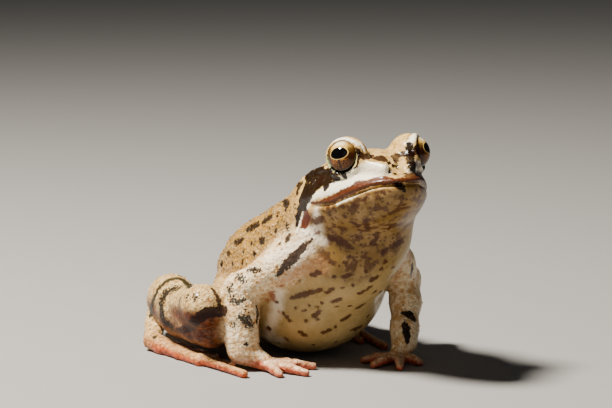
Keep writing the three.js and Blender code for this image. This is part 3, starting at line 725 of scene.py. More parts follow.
def detail_head(grid, axes):
    for side, s in SIDES.items():
        cut(grid, axes, eyes[side] - 7, eyes[side] + 7, lambda f, *xyz: open_lids(f, side, *xyz))
        nostril = nostrils[side]
        cut(grid, axes, nostril - 3, nostril + 3, lambda f, *xyz: (
            f + 0.8 * bump_at(distance_to(nostril, *xyz), 0.4)
            - 0.18 * bump_at(distance_to(nostril, *xyz) - 0.85, 0.35)))
        drum = head_at(s * DRUM[0], *DRUM[1:])
        cut(grid, axes, drum - 5, drum + 5, lambda f, *xyz: (
            f + 0.28 * bump_at(distance_to(drum, *xyz) - EAR_RADIUS, 0.35)
            + 0.12 * (distance_to(drum, *xyz) < EAR_RADIUS)))
    cut(grid, axes, HEAD_AT - 26, HEAD_AT + 26, part_lips)


print("nostrils", {side: at.round(1).tolist() for side, at in nostrils.items()})

# %% [markdown]
# ## Ridges and warts
# A common frog has a ridge of glands down each side of its back, from behind the eye to the hip. Each ridge is a
# thin chain laid on the back by dropping points onto the skin. The dark spots of the back sit on low warts.

# %% Ridges on the back
RIDGE = [(9.2, -3.5, 43), (9.6, 3, 38), (9.4, 12, 31), (8.8, 22, 24), (7, 31, 17)]
SPINE_X = -1.4  # where the middle of the back is
ridges = []
for s in SIDES.values():
    line = to_skin([head_at(s * 9.4, 3.5, 7.6)] + [(s * x + SPINE_X, y, z) for x, y, z in RIDGE])
    ridges.append(to_skin(finer(line)))

warts = np.concatenate(both_sides(BACK_SPOTS, False))
_, uphill = read_grid(grid, axes, warts[:, :3])
wart_sizes = np.clip(warts[:, 3], 0.45, 0.8)
wart_cores = warts[:, :3] - 0.5 * wart_sizes[:, None] * unit(uphill)
print(len(warts), "warts on the back")


def detail_back(grid, axes):
    for core, size in zip(wart_cores, wart_sizes):
        cut(grid, axes, core - 2, core + 2, lambda f, *xyz: blend(f, distance_to(core, *xyz) - size, 0.5))
    for line in ridges:
        for a, b in zip(line, line[1:]):
            low, high = np.minimum(a, b) - 3, np.maximum(a, b) + 3
            cut(grid, axes, low, high, lambda f, *xyz: blend(f, cone(a, b, 0.45, 0.45).distance(*xyz), 1.1))


# %% [markdown]
# ## From the field to a mesh
# Surface nets put one point in each grid cell that the skin passes through and join the points of neighbouring
# cells with four-sided faces. The result is closed and even. Each point is then moved exactly onto the skin.

# %% Surface nets
def surface_net(f, axes):
    """Points and four-sided faces of the surface where f is zero."""
    inside = f < 0
    n = f.shape
    count = sum(inside[i:n[0] - 1 + i, j:n[1] - 1 + j, k:n[2] - 1 + k].astype(np.uint8) for i, j, k in CORNERS)
    active = (count > 0) & (count < 8)
    cells = np.argwhere(active)
    number = np.full(active.shape, -1, np.int32)
    number[active] = np.arange(len(cells))
    value = {c: f[tuple((cells + c).T)] for c in CORNERS}
    total, crossings = np.zeros((len(cells), 3)), np.zeros(len(cells))
    for a in CORNERS:
        for axis in range(3):
            if a[axis] == 0:
                b = tuple(1 if i == axis else c for i, c in enumerate(a))
                crossed = (value[a] < 0) != (value[b] < 0)
                t = np.where(crossed, value[a] / np.where(crossed, value[a] - value[b], 1), 0)
                p = np.tile(np.array(a, float), (len(cells), 1))
                p[:, axis] += t
                total += p * crossed[:, None]
                crossings += crossed
    place = cells + total / crossings[:, None]
    points = np.stack([np.interp(place[:, i], np.arange(len(a)), a) for i, a in enumerate(axes)], axis=1)
    quads = []
    for axis, (u, v) in enumerate([(1, 2), (2, 0), (0, 1)]):
        low, high = [slice(1, -1)] * 3, [slice(1, -1)] * 3
        low[axis], high[axis] = slice(0, -1), slice(1, None)
        here, there = inside[tuple(low)], inside[tuple(high)]
        edges = np.argwhere(here != there)
        outwards = here[tuple(edges.T)]
        edges[:, [u, v]] += 1
        around = []
        for du, dv in ((1, 1), (0, 1), (0, 0), (1, 0)):
            c = edges.copy()
            c[:, u] -= du
            c[:, v] -= dv
            around.append(number[tuple(c.T)])
        quad = np.stack(around, axis=1)
        quad[~outwards] = quad[~outwards][:, ::-1]
        quads.append(quad)
    return points, np.concatenate(quads)


# %% [markdown]
# ## The skin's points
# The details go into the field, and everything below the floor is cut off, so that the hands, feet and seat rest on
# small flats. Two short steps down the slope then bring each point exactly onto the skin.

# %% The skin's points
detail_head(grid, axes)
detail_back(grid, axes)
grid = np.maximum(grid, -np.asarray(axes[2])[None, None, :])
points, faces = surface_net(grid, axes)
for _ in range(2):
    value, grad = read_grid(grid, axes, points)
    step = value[:, None] * grad / np.maximum((grad ** 2).sum(1), 0.2)[:, None]
    points -= np.clip(step, -0.12, 0.12)
print("skin:", len(points), "points,", 2 * len(faces), "triangles")

# %% [markdown]
# ## From points to an object
# Filling a mesh one face at a time is slow in Blender, so whole arrays are handed over at once. Each point also
# gets its named values, such as how far it is from a mark, for the material to read.

# %% Mesh maker
def make_mesh(name, points, faces, values=None, material=None):
    """A smooth closed mesh from points in millimetres, with one number or vector per point for each of its values."""
    mesh = bpy.data.meshes.new(name)
    mesh.vertices.add(len(points))
    mesh.vertices.foreach_set("co", ((points - CENTRE) / 1000).astype(np.float32).ravel())
    mesh.loops.add(faces.size)
    mesh.loops.foreach_set("vertex_index", faces.astype(np.int32).ravel())
    mesh.polygons.add(len(faces))
    mesh.polygons.foreach_set("loop_start", np.arange(0, faces.size, faces.shape[1], dtype=np.int32))
    mesh.polygons.foreach_set("loop_total", np.full(len(faces), faces.shape[1], np.int32))
    mesh.update(calc_edges=True)
    mesh.shade_smooth()
    add_values(mesh, values or {})
    if material:
        mesh.materials.append(material)
    return add_object(name, mesh)


def add_values(mesh, values):
    """Stores one number or one vector for each point, under each label."""
    for label, numbers in values.items():
        vector = np.ndim(numbers) == 2
        layer = mesh.attributes.new(label, "FLOAT_VECTOR" if vector else "FLOAT", "POINT")
        layer.data.foreach_set("vector" if vector else "value", np.asarray(numbers, np.float32).ravel())


# %% [markdown]
# ## Marks that are not in view
# The far side has the same kinds of marks in other places. They are scattered by chance with a fixed seed, and only
# where the skin is of the right kind.

# %% Scattering
rng = np.random.default_rng(7)


def scatter(count, allowed, radius, long, apart=2.6):
    """Short strokes at random on the skin, where allowed."""
    middles, found = np.empty((0, 3)), []
    for i in rng.permutation(np.flatnonzero(allowed)):
        p, n = points[i], normals[i]
        if len(middles) == count:
            break
        if len(middles) and np.linalg.norm(middles - p, axis=1).min() < apart:
            continue
        middles = np.vstack([middles, p])
        r = rng.uniform(*radius)
        along = np.cross(n, (0.3, 0, 1.0)) + rng.normal(0, 0.3, 3)
        reach = unit(along) * r * rng.uniform(0, long)
        found.append(np.column_stack([[p - reach, p, p + reach], [r * 0.8, r, r * 0.8]]))
    return found


# %% [markdown]
# ## Regions of the skin
# Colour also changes with the part of the body: tan above, cream below, pink on the arms and orange on the digits.
# The belly, the throat and the skin of the legs that faces down are also darker than their own colour, as painted
# shade. How much a point belongs to a region comes from its nearest piece of flesh and from the way its skin faces.

# %% Regions
def smooth(low, high, x):
    """0 at low and 1 at high, with a soft start and end."""
    t = np.clip((x - low) / (high - low), 0, 1)
    return t * t * (3 - 2 * t)


def shares(points, width=0.8):
    """How much each point belongs to each kind of piece."""
    x, y, z = points.T
    kinds = {}
    for name, (inner, join, shapes) in pieces.items():
        own = np.full(len(points), FAR)
        for shape in shapes:
            own = np.minimum(own, shape.distance(x, y, z))
        kind = name.rsplit("_", 1)[0] if name[-2] == "_" else name
        kinds[kind] = np.minimum(kinds.get(kind, FAR), own)
    lowest = np.min(list(kinds.values()), axis=0)
    weight = {k: np.exp(-(d - lowest) / width) for k, d in kinds.items()}
    total = sum(weight.values())
    return {k: w / total for k, w in weight.items()}


BACK_UP = np.array([0, 0.62, 0.78])
THROAT_IN_VIEW = (366, 228)
THROAT_AT = cast([THROAT_IN_VIEW])[0] + [0, 4, 0]


def regions(points, normals, share):
    """How much each point belongs to each region of colour."""
    up = normals[:, 2]
    _, ahead, over = head_frame(points)
    over_lips = over - np.interp(ahead, *MOUTH)
    faces_back = smooth(-0.42, 0.05, normals @ BACK_UP)
    jaw = share["head"] * smooth(-0.4, -1.2, over_lips)
    near_throat = smooth(15, 9, np.linalg.norm(points - THROAT_AT, axis=1))
    leg = share["thigh"] + share["shank"] + share["tarsus"] + share["foot"]
    arm = share["upper_arm"] + share["forearm"] + share["hand"]
    # the skin of the thighs and shanks that faces down; its dark colour is partly the leg's own orange and partly
    # painted shade
    under = (share["thigh"] + share["shank"]) * smooth(0.25, -0.25, up)
    digit = share["hand"] * smooth(3.4, 2.2, points[:, 2]) + share["foot"]
    throat = np.clip(jaw + share["trunk"] * (1 - faces_back) * near_throat, 0, 1)
    return dict(
        belly=share["trunk"] * (1 - faces_back), face=smooth(-0.8, 0.4, over_lips) * share["head"], throat=throat,
        arm=arm, leg=leg, under=under, digit=digit * (0.3 + 0.6 * smooth(0.85, 0.0, up)),
        flank=share["trunk"] * bump_at(normals @ BACK_UP + 0.3, 0.22),
        grain=np.clip(0.3 + 0.7 * (share["trunk"] * faces_back + arm * 0.9 + leg - under) - 0.2 * throat, 0, 1))


normals = grad / (np.linalg.norm(grad, axis=1, keepdims=True) + 1e-9)
share = shares(points)
area = regions(points, normals, share)
print({name: round(float(part.mean()), 2) for name, part in area.items()})

# %% [markdown]
# ## Materials: small helpers
# A material is a tree of nodes. A few helpers keep the trees short: one puts in a node with its settings and
# inputs, and the others do sums, mix colours and make noise. Patterns are worked out in millimetres on Object
# coordinates, so they keep their real size.

# %% Node helpers
def feed(tree, node, inputs):
    """Sets each input, or links it where the value comes from another node."""
    for key, value in inputs.items():
        socket = node.inputs[key]
        if isinstance(value, bpy.types.NodeSocket):
            tree.links.new(value, socket)
        else:
            socket.default_value = value


def put(tree, kind, inputs=None, **settings):
    """A new node with its settings and its inputs."""
    node = tree.nodes.new(kind)
    for key, value in settings.items():
        setattr(node, key, value)
    feed(tree, node, inputs or {})
    return node


def sums(tree, operation, a, b=0.0, c=0.0):
    return put(tree, "ShaderNodeMath", {0: a, 1: b, 2: c}, operation=operation).outputs[0]


def times(tree, a, b):
    return sums(tree, "MULTIPLY", a, b)


def ramp(tree, value, low, high):
    """0 to 1, smoothly, as value goes from low to high."""
    ends = {"Value": value, "From Min": low, "From Max": high}
    return put(tree, "ShaderNodeMapRange", ends, interpolation_type="SMOOTHSTEP").outputs["Result"]


def mixed(tree, share, a, b):
    """Colour a where the share is 0 and colour b where it is 1."""
    return put(tree, "ShaderNodeMix", {0: share, 6: a, 7: b}, data_type="RGBA").outputs[2]


def colour(code):
    """A colour from its usual hexadecimal code, as light."""
    parts = [int(code[i:i + 2], 16) / 255 for i in (0, 2, 4)]
    return (*[c / 12.92 if c <= 0.04045 else ((c + 0.055) / 1.055) ** 2.4 for c in parts], 1)


print("a pale stone colour as light:", [round(c, 3) for c in colour("f3e4cc")])

# %% [markdown]
# ## Patterns
# Noise gives soft random values, and pushing places about with noise before a cell pattern reads them bends its
# straight borders. A named value that was stored on the points is read with an Attribute node.

# %% Pattern helpers
def millimetres(tree):
    where = put(tree, "ShaderNodeTexCoord").outputs["Object"]
    return put(tree, "ShaderNodeMapping", {"Vector": where, "Scale": (1000, 1000, 1000)}).outputs["Vector"]


def noise(tree, where, scale, detail, rough=0.5):
    settings = {"Vector": where, "Scale": scale, "Detail": detail, "Roughness": rough}
    return put(tree, "ShaderNodeTexNoise", settings).outputs["Fac"]


def pushed(tree, where, scale, detail, by):
    """The same places, pushed about by noise."""
    push = put(tree, "ShaderNodeTexNoise", {"Vector": where, "Scale": scale, "Detail": detail}).outputs["Color"]
    moved = put(tree, "ShaderNodeVectorMath", {0: push, 1: (by, by, by), 2: where}, operation="MULTIPLY_ADD")
    return moved.outputs[0]


def attribute(tree, name):
    return put(tree, "ShaderNodeAttribute", attribute_name=name).outputs["Fac"]


def new_material(name):
    """A material, its tree and its main shader."""
    material = bpy.data.materials.new(name)
    material.use_nodes = True
    return material, material.node_tree, material.node_tree.nodes["Principled BSDF"]


def new_group(name, takes, gives):
    """A node group with its number inputs, each with a first value, and its number outputs."""
    tree = bpy.data.node_groups.new(name, "ShaderNodeTree")
    for label, value in takes.items():
        tree.interface.new_socket(label, in_out="INPUT", socket_type="NodeSocketFloat").default_value = value
    for label in gives:
        tree.interface.new_socket(label, in_out="OUTPUT", socket_type="NodeSocketFloat")
    return tree, tree.nodes.new("NodeGroupInput").outputs, tree.nodes.new("NodeGroupOutput")


def use_group(tree, group, **inputs):
    node = put(tree, "ShaderNodeGroup", node_tree=group)
    feed(tree, node, inputs)
    return node


# %% [markdown]
# ## A mark's ragged edge
# No edge on a frog's skin is straight. Noise is added to the distance from the mark before it is turned into a
# mask, so the edge wanders in and out. It is a node group, because every mark uses it with its own values.

# %% Node group: ragged mark
ragged_mark, given, out = new_group(
    "ragged_mark", {"Distance": 1.0, "Wobble": 0.35, "Detail": 0.9, "Softness": 0.12}, ["Mask"])
tree = ragged_mark
wander = sums(tree, "SUBTRACT", noise(tree, millimetres(tree), given["Detail"], 3.0, 0.6), 0.5)
shifted = sums(tree, "MULTIPLY_ADD", wander, times(tree, given["Wobble"], 3.0), given["Distance"])
edge = sums(tree, "DIVIDE", shifted, given["Softness"])
feed(tree, out, {"Mask": ramp(tree, edge, 1.0, -1.0)})
print("ragged_mark:", len(tree.nodes), "nodes")

# %% [markdown]
# ## Fine specks
# Frogs are dusted with tiny dark specks. A cell pattern gives one possible speck to each cell. Chance picks the
# cells that have one, and a second chance its size.

# %% Node group: specks
specks, given, out = new_group("specks", {"Scale": 1.0, "Amount": 0.3, "Size": 0.3}, ["Mask"])
tree = specks
moved = pushed(tree, millimetres(tree), 1.6, 2.0, 0.5)
cells = put(tree, "ShaderNodeTexVoronoi", {"Vector": moved, "Scale": given["Scale"], "Randomness": 1.0})
chance = put(tree, "ShaderNodeSeparateColor", {"Color": cells.outputs["Color"]})
chosen = sums(tree, "LESS_THAN", chance.outputs[0], given["Amount"])
reach = times(tree, given["Size"], sums(tree, "MULTIPLY_ADD", chance.outputs[1], 0.8, 0.5))
spot = ramp(tree, sums(tree, "SUBTRACT", cells.outputs["Distance"], reach), 0.05, -0.05)
feed(tree, out, {"Mask": times(tree, spot, chosen)})
print("specks:", len(tree.nodes), "nodes")

# %% [markdown]
# ## Moist skin grain
# Close up, the skin is a field of low round pebbles with finer ones between them, over soft folds. The group gives
# their height for a Bump node, and the tops of the pebbles, which are painted a little paler as painted highlights.

# %% Node group: moist skin grain
skin_grain, given, out = new_group("skin_grain", {"Amount": 1.0, "Scale": 1.5}, ["Height", "Tops"])
tree = skin_grain
where = millimetres(tree)
moved = pushed(tree, where, 1.1, 3.0, 0.6)
pebbles = put(tree, "ShaderNodeTexVoronoi", {"Vector": moved, "Scale": given["Scale"], "Smoothness": 0.35},
              feature="SMOOTH_F1")
dome = ramp(tree, pebbles.outputs["Distance"], 0.75, 0.05)
fine = put(tree, "ShaderNodeTexVoronoi", {"Vector": moved, "Scale": times(tree, given["Scale"], 2.7)})
fine_dome = ramp(tree, fine.outputs["Distance"], 0.8, 0.1)
height = sums(tree, "MULTIPLY_ADD", dome, 0.24, times(tree, fine_dome, 0.09))
height = sums(tree, "MULTIPLY_ADD", noise(tree, where, 0.7, 5.0, 0.65), 0.22, height)
feed(tree, out, {"Height": times(tree, height, given["Amount"]), "Tops": times(tree, dome, given["Amount"])})
print("groups:", [g.name for g in bpy.data.node_groups])

# %% [markdown]
# ## Ground colours
# The skin's colour is built up as a painter would do it: the ground colours of the regions first, then the marks with
# their ragged edges, then fine specks. Each ground is two colours mixed by noise, so no part of it is flat.

# %% Ground colours
# The belly, throat and under colours are partly painted shade: they are darker than the skin's own colour, as the head
# shades the throat and belly and the legs shade their own undersides.
GROUNDS = (  # region, pattern, from, to, and the two colours that it mixes
    ("belly", "broad", 0.38, 0.66, "a18650", "b0935e"), ("arm", "small", 0.4, 0.62, "f2dcb4", "c9985c"),
    ("leg", "small", 0.4, 0.64, "d6b478", "9b7236"), ("under", "small", 0.35, 0.65, "6a2c06", "2e0e02"),
    ("face", "small", 0.45, 0.65, "d0aa68", "94702f"), ("throat", "broad", 0.4, 0.6, "80602c", "987748"))


def ground_colours(tree, region, patterns):
    """Tan skin, a paler flank, and each other region's own colours over them."""
    small = patterns["small"]
    tan = mixed(tree, ramp(tree, patterns["broad"], 0.35, 0.65), colour("8a6421"), colour("aa7f38"))
    tan = mixed(tree, times(tree, ramp(tree, small, 0.52, 0.68), 0.75), tan, colour("4f3512"))
    tan = mixed(tree, times(tree, ramp(tree, small, 0.42, 0.32), 0.6), tan, colour("ccaa66"))
    c = mixed(tree, times(tree, region["flank"], 0.8), tan, colour("cdb277"))
    for name, pattern, low, high, one, two in GROUNDS:
        own = mixed(tree, ramp(tree, patterns[pattern], low, high), colour(one), colour(two))
        c = mixed(tree, region[name], c, own)
    return c


def throat_blotches(tree, where, throat, c):
    """Brown clouds and dark dots on the throat."""
    blotch = times(tree, ramp(tree, noise(tree, where, 0.5, 2.5, 0.55), 0.49, 0.6), throat)
    c = mixed(tree, times(tree, blotch, 0.8), c, colour("4c260e"))
    dots = use_group(tree, specks, Scale=1.15, Amount=0.45, Size=0.34).outputs["Mask"]
    return mixed(tree, times(tree, times(tree, dots, throat), 0.75), c, colour("341405"))


# %% [markdown]
# ## Painting the marks
# The marks go on in a fixed order, pale ones first, so that a dark mark covers a pale one where they cross. The
# dark marks also give back their mask, because they are the glossiest skin.

# %% Painted marks
MARK_PAINTS = (  # name, colour, strength, how far the edge wanders, how soft it is, and how fine its noise is
    ("blush", "b8683c", 0.45, 0.6, 1.6, 0.6), ("pale", "f3e4cc", 0.75, 0.7, 1.1, 0.7),
    ("cream", "f7ecd0", 0.95, 0.3, 0.3, 0.9), ("brown", "4a1707", 0.95, 0.4, 0.16, 1.3),
    ("rusty", "8c3f1a", 0.8, 0.8, 0.35, 0.9), ("mottle", "431c0a", 0.9, 0.9, 0.45, 0.8),
    ("purple", "240a06", 0.95, 0.6, 0.16, 1.3), ("green", "1a1a0a", 0.94, 0.5, 0.2, 1.3),
    ("spots", "1a0c05", 0.95, 0.6, 0.2, 1.3), ("dashes", "481f08", 0.9, 0.45, 0.24, 1.3),
    ("rim", "a9bd86", 0.9, 0.03, 0.1, 0.9), ("specks", "0e0a0a", 0.95, 1.7, 0.2, 2.3),
    ("dark", "110402", 0.98, 0.45, 0.12, 1.5), ("drum", "260d05", 0.6, 0.5, 0.6, 1.2))


def painted_marks(tree, c):
    """The colour with every mark on it, and the mask of the dark marks."""
    for name, code, strength, wobble, softness, detail in MARK_PAINTS:
        edge = use_group(tree, ragged_mark, Distance=attribute(tree, name), Wobble=wobble, Softness=softness,
                         Detail=detail)
        mask = times(tree, edge.outputs["Mask"], strength)
        c = mixed(tree, mask, c, colour(code))
        if name == "dark":
            dark = mask
    return c, dark


# %% [markdown]
# ## The skin's material
# Everything is put together here. Moist skin is glossy, and the thin film of water on it is a coat over the
# shader's own surface. The throat and the hidden side of the legs are drier, and every pebble catches the light.
# The top of each pebble is also painted a little paler, as a painted highlight.

# %% Skin material
skin_material, tree, shader = new_material("frog_skin")
where = millimetres(tree)
region = {name: attribute(tree, name) for name in area}
small = noise(tree, where, 0.9, 5.0, 0.7)
c = ground_colours(tree, region, {"broad": noise(tree, where, 0.22, 4.0, 0.6), "small": small})
c = throat_blotches(tree, where, region["throat"], c)
grain = use_group(tree, skin_grain, Amount=region["grain"], Scale=1.15)
# painted highlights: the top of each pebble is made a little paler
c = mixed(tree, times(tree, grain.outputs["Tops"], 0.13), c, colour("fff0d6"))
digit = mixed(tree, ramp(tree, small, 0.4, 0.6), colour("c43d06"), colour("8f2602"))
c, dark = painted_marks(tree, mixed(tree, region["digit"], c, digit))
dust = use_group(tree, specks, Scale=0.75, Amount=0.16, Size=0.24).outputs["Mask"]
dusty = sums(tree, "MAXIMUM", sums(tree, "MAXIMUM", region["arm"], region["leg"]), region["grain"])
c = mixed(tree, times(tree, times(tree, dust, dusty), 0.55), c, colour("5a4027"))
rough = sums(tree, "MULTIPLY_ADD", dark, -0.14, sums(tree, "MULTIPLY_ADD", small, 0.2, 0.26))
wet = sums(tree, "MULTIPLY_ADD", region["under"], -0.26, sums(tree, "MULTIPLY_ADD", region["throat"], -0.12, 0.3))
bump = put(tree, "ShaderNodeBump", {"Height": grain.outputs["Height"], "Distance": 0.001, "Strength": 0.8})
feed(tree, shader, {"Base Color": c, "Roughness": rough, "Coat Weight": wet, "Normal": bump.outputs["Normal"],
                    "Coat Roughness": 0.12, "Specular IOR Level": 0.1})
print("skin material:", len(tree.nodes), "nodes")

# %% [markdown]
# ## All the marks together
# The scattered spots start from points of the skin that face away from the camera, and a chevron on the nape is
# laid on by its place. Every kind of mark is then one list of strokes.

# %% Every mark
back_up = normals @ BACK_UP
off_head = head_frame(points)[1] < -6
hidden = normals @ look > -0.12  # turned away from the camera
scattered = {
    "back": scatter(75, (share["trunk"] > 0.7) & (back_up > 0.2) & off_head & hidden, (0.4, 1.0), 1.2),
    "belly": scatter(40, (area["belly"] > 0.8) & (area["throat"] < 0.3), (0.25, 0.45), 1.8, 3.0),
    "leg": scatter(30, (area["leg"] > 0.8) & (area["under"] < 0.2) & hidden & (points[:, 2] > 3), (0.4, 0.9), 2.4),
    "arm": scatter(14, (area["arm"] > 0.8) & hidden & (points[:, 2] > 4), (0.3, 0.7), 1.4)}
CHEVRON = [laid((SPINE_X, -3, 41, 0.7), (s * 3 + SPINE_X, 2.5, 38, 0.9), (s * 4.6 + SPINE_X, 6, 36, 0.5))
           for s in SIDES.values()]
marks = {
    "blush": both_sides(BLUSH, False), "pale": SHOULDER_STRIPES_AND_PAINTED_LIGHT, "cream": STRIPE + BROW, "brown": LIP + JAW_PATCH,
    "rusty": RUSTY, "mottle": CHEST + both_sides(JAW_SPOTS) + FAR_SNOUT_PAINTED_SHADE,
    "purple": BEFORE_EYE + both_sides(ARM_BAR + KNEE_BAND, False) + KNEE_PAINTED_SHADE,
    "green": both_sides(CALF_GREEN, False),
    "spots": BACK_SPOTS + CHEVRON + scattered["back"] + scattered["leg"] + scattered["arm"],
    "dashes": BELLY_SPOTS + scattered["belly"],
    "specks": both_sides(ARM_SPECKS, False) + both_sides(CALF_DOTS, False),
    "dark": MASK + SNOUT_DOTS + CHIN_SPOT + FAR_LID_PAINTED_SHADE + MASK_BEHIND_EYE + ARM_DARK, "drum": DRUMS}
print({name: len(balls) for name, balls in marks.items()}, "strokes")

# %% [markdown]
# ## The skin
# Every point now gets its distances from the marks. The lids have a pale green rim inside. A dark line round the
# outside of the lids and a thin one under the upper lid, where it meets the ball, are painted shade; they are rings
# like the lids themselves and join the dark marks. The values go into the mesh with the points.

# %% The skin
def lid_line(out, wider, thin, drop, strength, fade):
    """Distance from a line round both eyes, which fades away above or below the eye."""
    best = np.full(len(points), 9.0)
    for side in SIDES:
        over = (points - eyes[side]) @ HEAD[2]
        middle = eyes[side] + eye_axes[side] * (RIM_OUT + out) - HEAD[2] * drop
        d = ring(middle, eye_axes[side], RIM_RADIUS + wider, thin, *points.T)
        best = np.minimum(best, d + strength * smooth(*fade, over))
    return best


values = {**area, **{name: from_strokes(points, balls) for name, balls in marks.items()}}
values["rim"] = lid_line(0.1, 0.02, 0.34, 0, 0.5, (0.5, 1.6))
# painted shade: a dark line round the outside of the lids, fading out towards the top of the eye
values["dark"] = np.minimum(values["dark"], lid_line(-0.35, 0.7, 0.3, 0, 0.9, (0.8, 2.0)))
# painted shade: a thin dark line under the upper lid, where it meets the ball, fading out below the eye
values["dark"] = np.minimum(values["dark"], lid_line(0.35, -0.15, 0.2, LID_DROP, 0.6, (0.4, -0.6)))
own_skin = 1 - area["digit"]
values["granular"] = np.clip(
    share["trunk"] * smooth(-0.3, 0.25, back_up) + 0.45 * (area["leg"] - area["under"]) * own_skin
    + 0.3 * area["arm"] * own_skin, 0, 1)
skin = make_mesh("skin", points, faces, values, skin_material)
print("skin has", len(values), "values at each of", len(points), "points")

# %% [markdown]
# ## Granules
# The back and the limbs of a frog carry small round granules, closer together than the warts. Geometry Nodes
# scatter points on the skin, no two nearer than a set spacing, and put a low dome on each. The domes carry the
# values of the skin under them, so the skin's own material paints them too.

# %% Geometry Nodes: granules
tree = bpy.data.node_groups.new("granules", "GeometryNodeTree")
sockets = {}
for label, kind in (("Geometry", "NodeSocketGeometry"), ("Spacing", "NodeSocketFloat"), ("Size", "NodeSocketFloat"),
                    ("Flatness", "NodeSocketFloat"), ("Seed", "NodeSocketInt"), ("Material", "NodeSocketMaterial")):
    sockets[label] = tree.interface.new_socket(label, in_out="INPUT", socket_type=kind).identifier
tree.interface.new_socket("Geometry", in_out="OUTPUT", socket_type="NodeSocketGeometry")
given = tree.nodes.new("NodeGroupInput").outputs
how_many = put(tree, "GeometryNodeInputNamedAttribute", {"Name": "granular"}, data_type="FLOAT").outputs["Attribute"]
spread_out = put(tree, "GeometryNodeDistributePointsOnFaces", {
    "Mesh": given["Geometry"], "Distance Min": given["Spacing"], "Density Max": 3e6, "Density Factor": how_many,
    "Seed": given["Seed"]}, distribute_method="POISSON")
ball = put(tree, "GeometryNodeMeshIcoSphere", {"Radius": given["Size"], "Subdivisions": 2})
flat = put(tree, "ShaderNodeCombineXYZ", {"X": 1.0, "Y": 1.0, "Z": given["Flatness"]})
dome = put(tree, "GeometryNodeTransform", {"Geometry": ball.outputs["Mesh"], "Scale": flat.outputs[0]})
chance = put(tree, "FunctionNodeRandomValue", {2: 0.5, 3: 1.1}, data_type="FLOAT").outputs[1]
size = times(tree, sums(tree, "MULTIPLY_ADD", how_many, 0.4, 0.6), chance)
domes = put(tree, "GeometryNodeInstanceOnPoints", {
    "Points": spread_out.outputs["Points"], "Instance": dome.outputs["Geometry"],
    "Rotation": spread_out.outputs["Rotation"], "Scale": size})
real = put(tree, "GeometryNodeRealizeInstances", {"Geometry": domes.outputs["Instances"]})
rounded = put(tree, "GeometryNodeSetShadeSmooth", {"Geometry": real.outputs["Geometry"]})
painted = put(tree, "GeometryNodeSetMaterial", {
    "Geometry": rounded.outputs["Geometry"], "Material": given["Material"]})
feed(tree, tree.nodes.new("NodeGroupOutput"), {"Geometry": painted.outputs["Geometry"]})
print("granules tree:", len(tree.nodes), "nodes")

# %% [markdown]
# ## The granules as a mesh
# A modifier on the skin runs the tree once with its sizes in metres. Its result is kept as a plain mesh, and the
# modifier is taken off again, which leaves the skin as it was.

# %% Granules
modifier = skin.modifiers.new("granules", "NODES")
modifier.node_group = tree
sizes = {"Spacing": 0.00115, "Size": 0.00042, "Flatness": 0.5, "Seed": 5, "Material": skin_material}
for label, value in sizes.items():
    modifier[sockets[label]] = value
ready = skin.evaluated_get(bpy.context.evaluated_depsgraph_get())
domes_mesh = bpy.data.meshes.new_from_object(ready)
skin.modifiers.remove(modifier)
domes_mesh.name = "granules"
granules = add_object("granules", domes_mesh)
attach(skin, "root")
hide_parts(*[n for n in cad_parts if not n.startswith("eye")])
print("granules:", len(domes_mesh.polygons), "faces")

# %% [markdown]
# ## A flat map
# Each dome also needs a place on a flat map of the skin, so that its colour can be baked there. The map is the skin
# rolled out round the body's length, and a dome is a tiny patch at its own place.

# %% A flat map for the granules
spots = np.empty(len(domes_mesh.vertices) * 3, np.float32)
domes_mesh.vertices.foreach_get("co", spots)
DOME_POINTS = 42  # an icosphere with 2 subdivisions
MAP_AXIS_HEIGHT, MAP_LENGTH, PATCH = 14, 84, 0.003
spots = spots.reshape(-1, DOME_POINTS, 3) * 1000
roots = spots.mean(axis=1, keepdims=True)
around = 0.5 + np.arctan2(roots[..., 0], roots[..., 2] - MAP_AXIS_HEIGHT) / (2 * np.pi)
along = roots[..., 1] / MAP_LENGTH + 0.5
flat_map = np.stack([around, along], axis=-1) + (spots - roots)[..., :2] * PATCH
corners = np.empty(len(domes_mesh.loops), np.int32)
domes_mesh.loops.foreach_get("vertex_index", corners)
layer = domes_mesh.uv_layers.get("OFBake") or domes_mesh.uv_layers.new(name="OFBake")
layer.data.foreach_set("uv", flat_map.reshape(-1, 2)[corners].astype(np.float32).ravel())
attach(granules, "root")
print("domes:", len(roots), "on the flat map")

# %% [markdown]
# ## The eyes
# A frog's eye is a large wet ball. Its pupil is a level oval. The iris is pale gold above and copper below, with a
# dark line through it. The ball is turned so that its pole is the middle of the pupil, and each point carries its
# place in the eye's own frame, so that the iris can be painted with sums on it.

# %% Eyeball meshes
PUPIL_IN_VIEW = (337.9, 152.9)


def gaze(side):
    """The direction of the pupil: found from its place in the view for the near eye, and mirrored for the far one."""
    eye = eyes["r"]
    ray = rays_through(PUPIL_IN_VIEW)[0]
    to_eye = eye - lens_at
    middle = to_eye @ ray
    half = np.sqrt(max(EYE_RADIUS ** 2 - (to_eye @ to_eye - middle ** 2), 0))
    out = unit(lens_at + ray * (middle - half) - eye)
    if side == "l":
        x, back, up = HEAD @ out
        out = -x * HEAD[0] + back * HEAD[1] + up * HEAD[2]
    return out


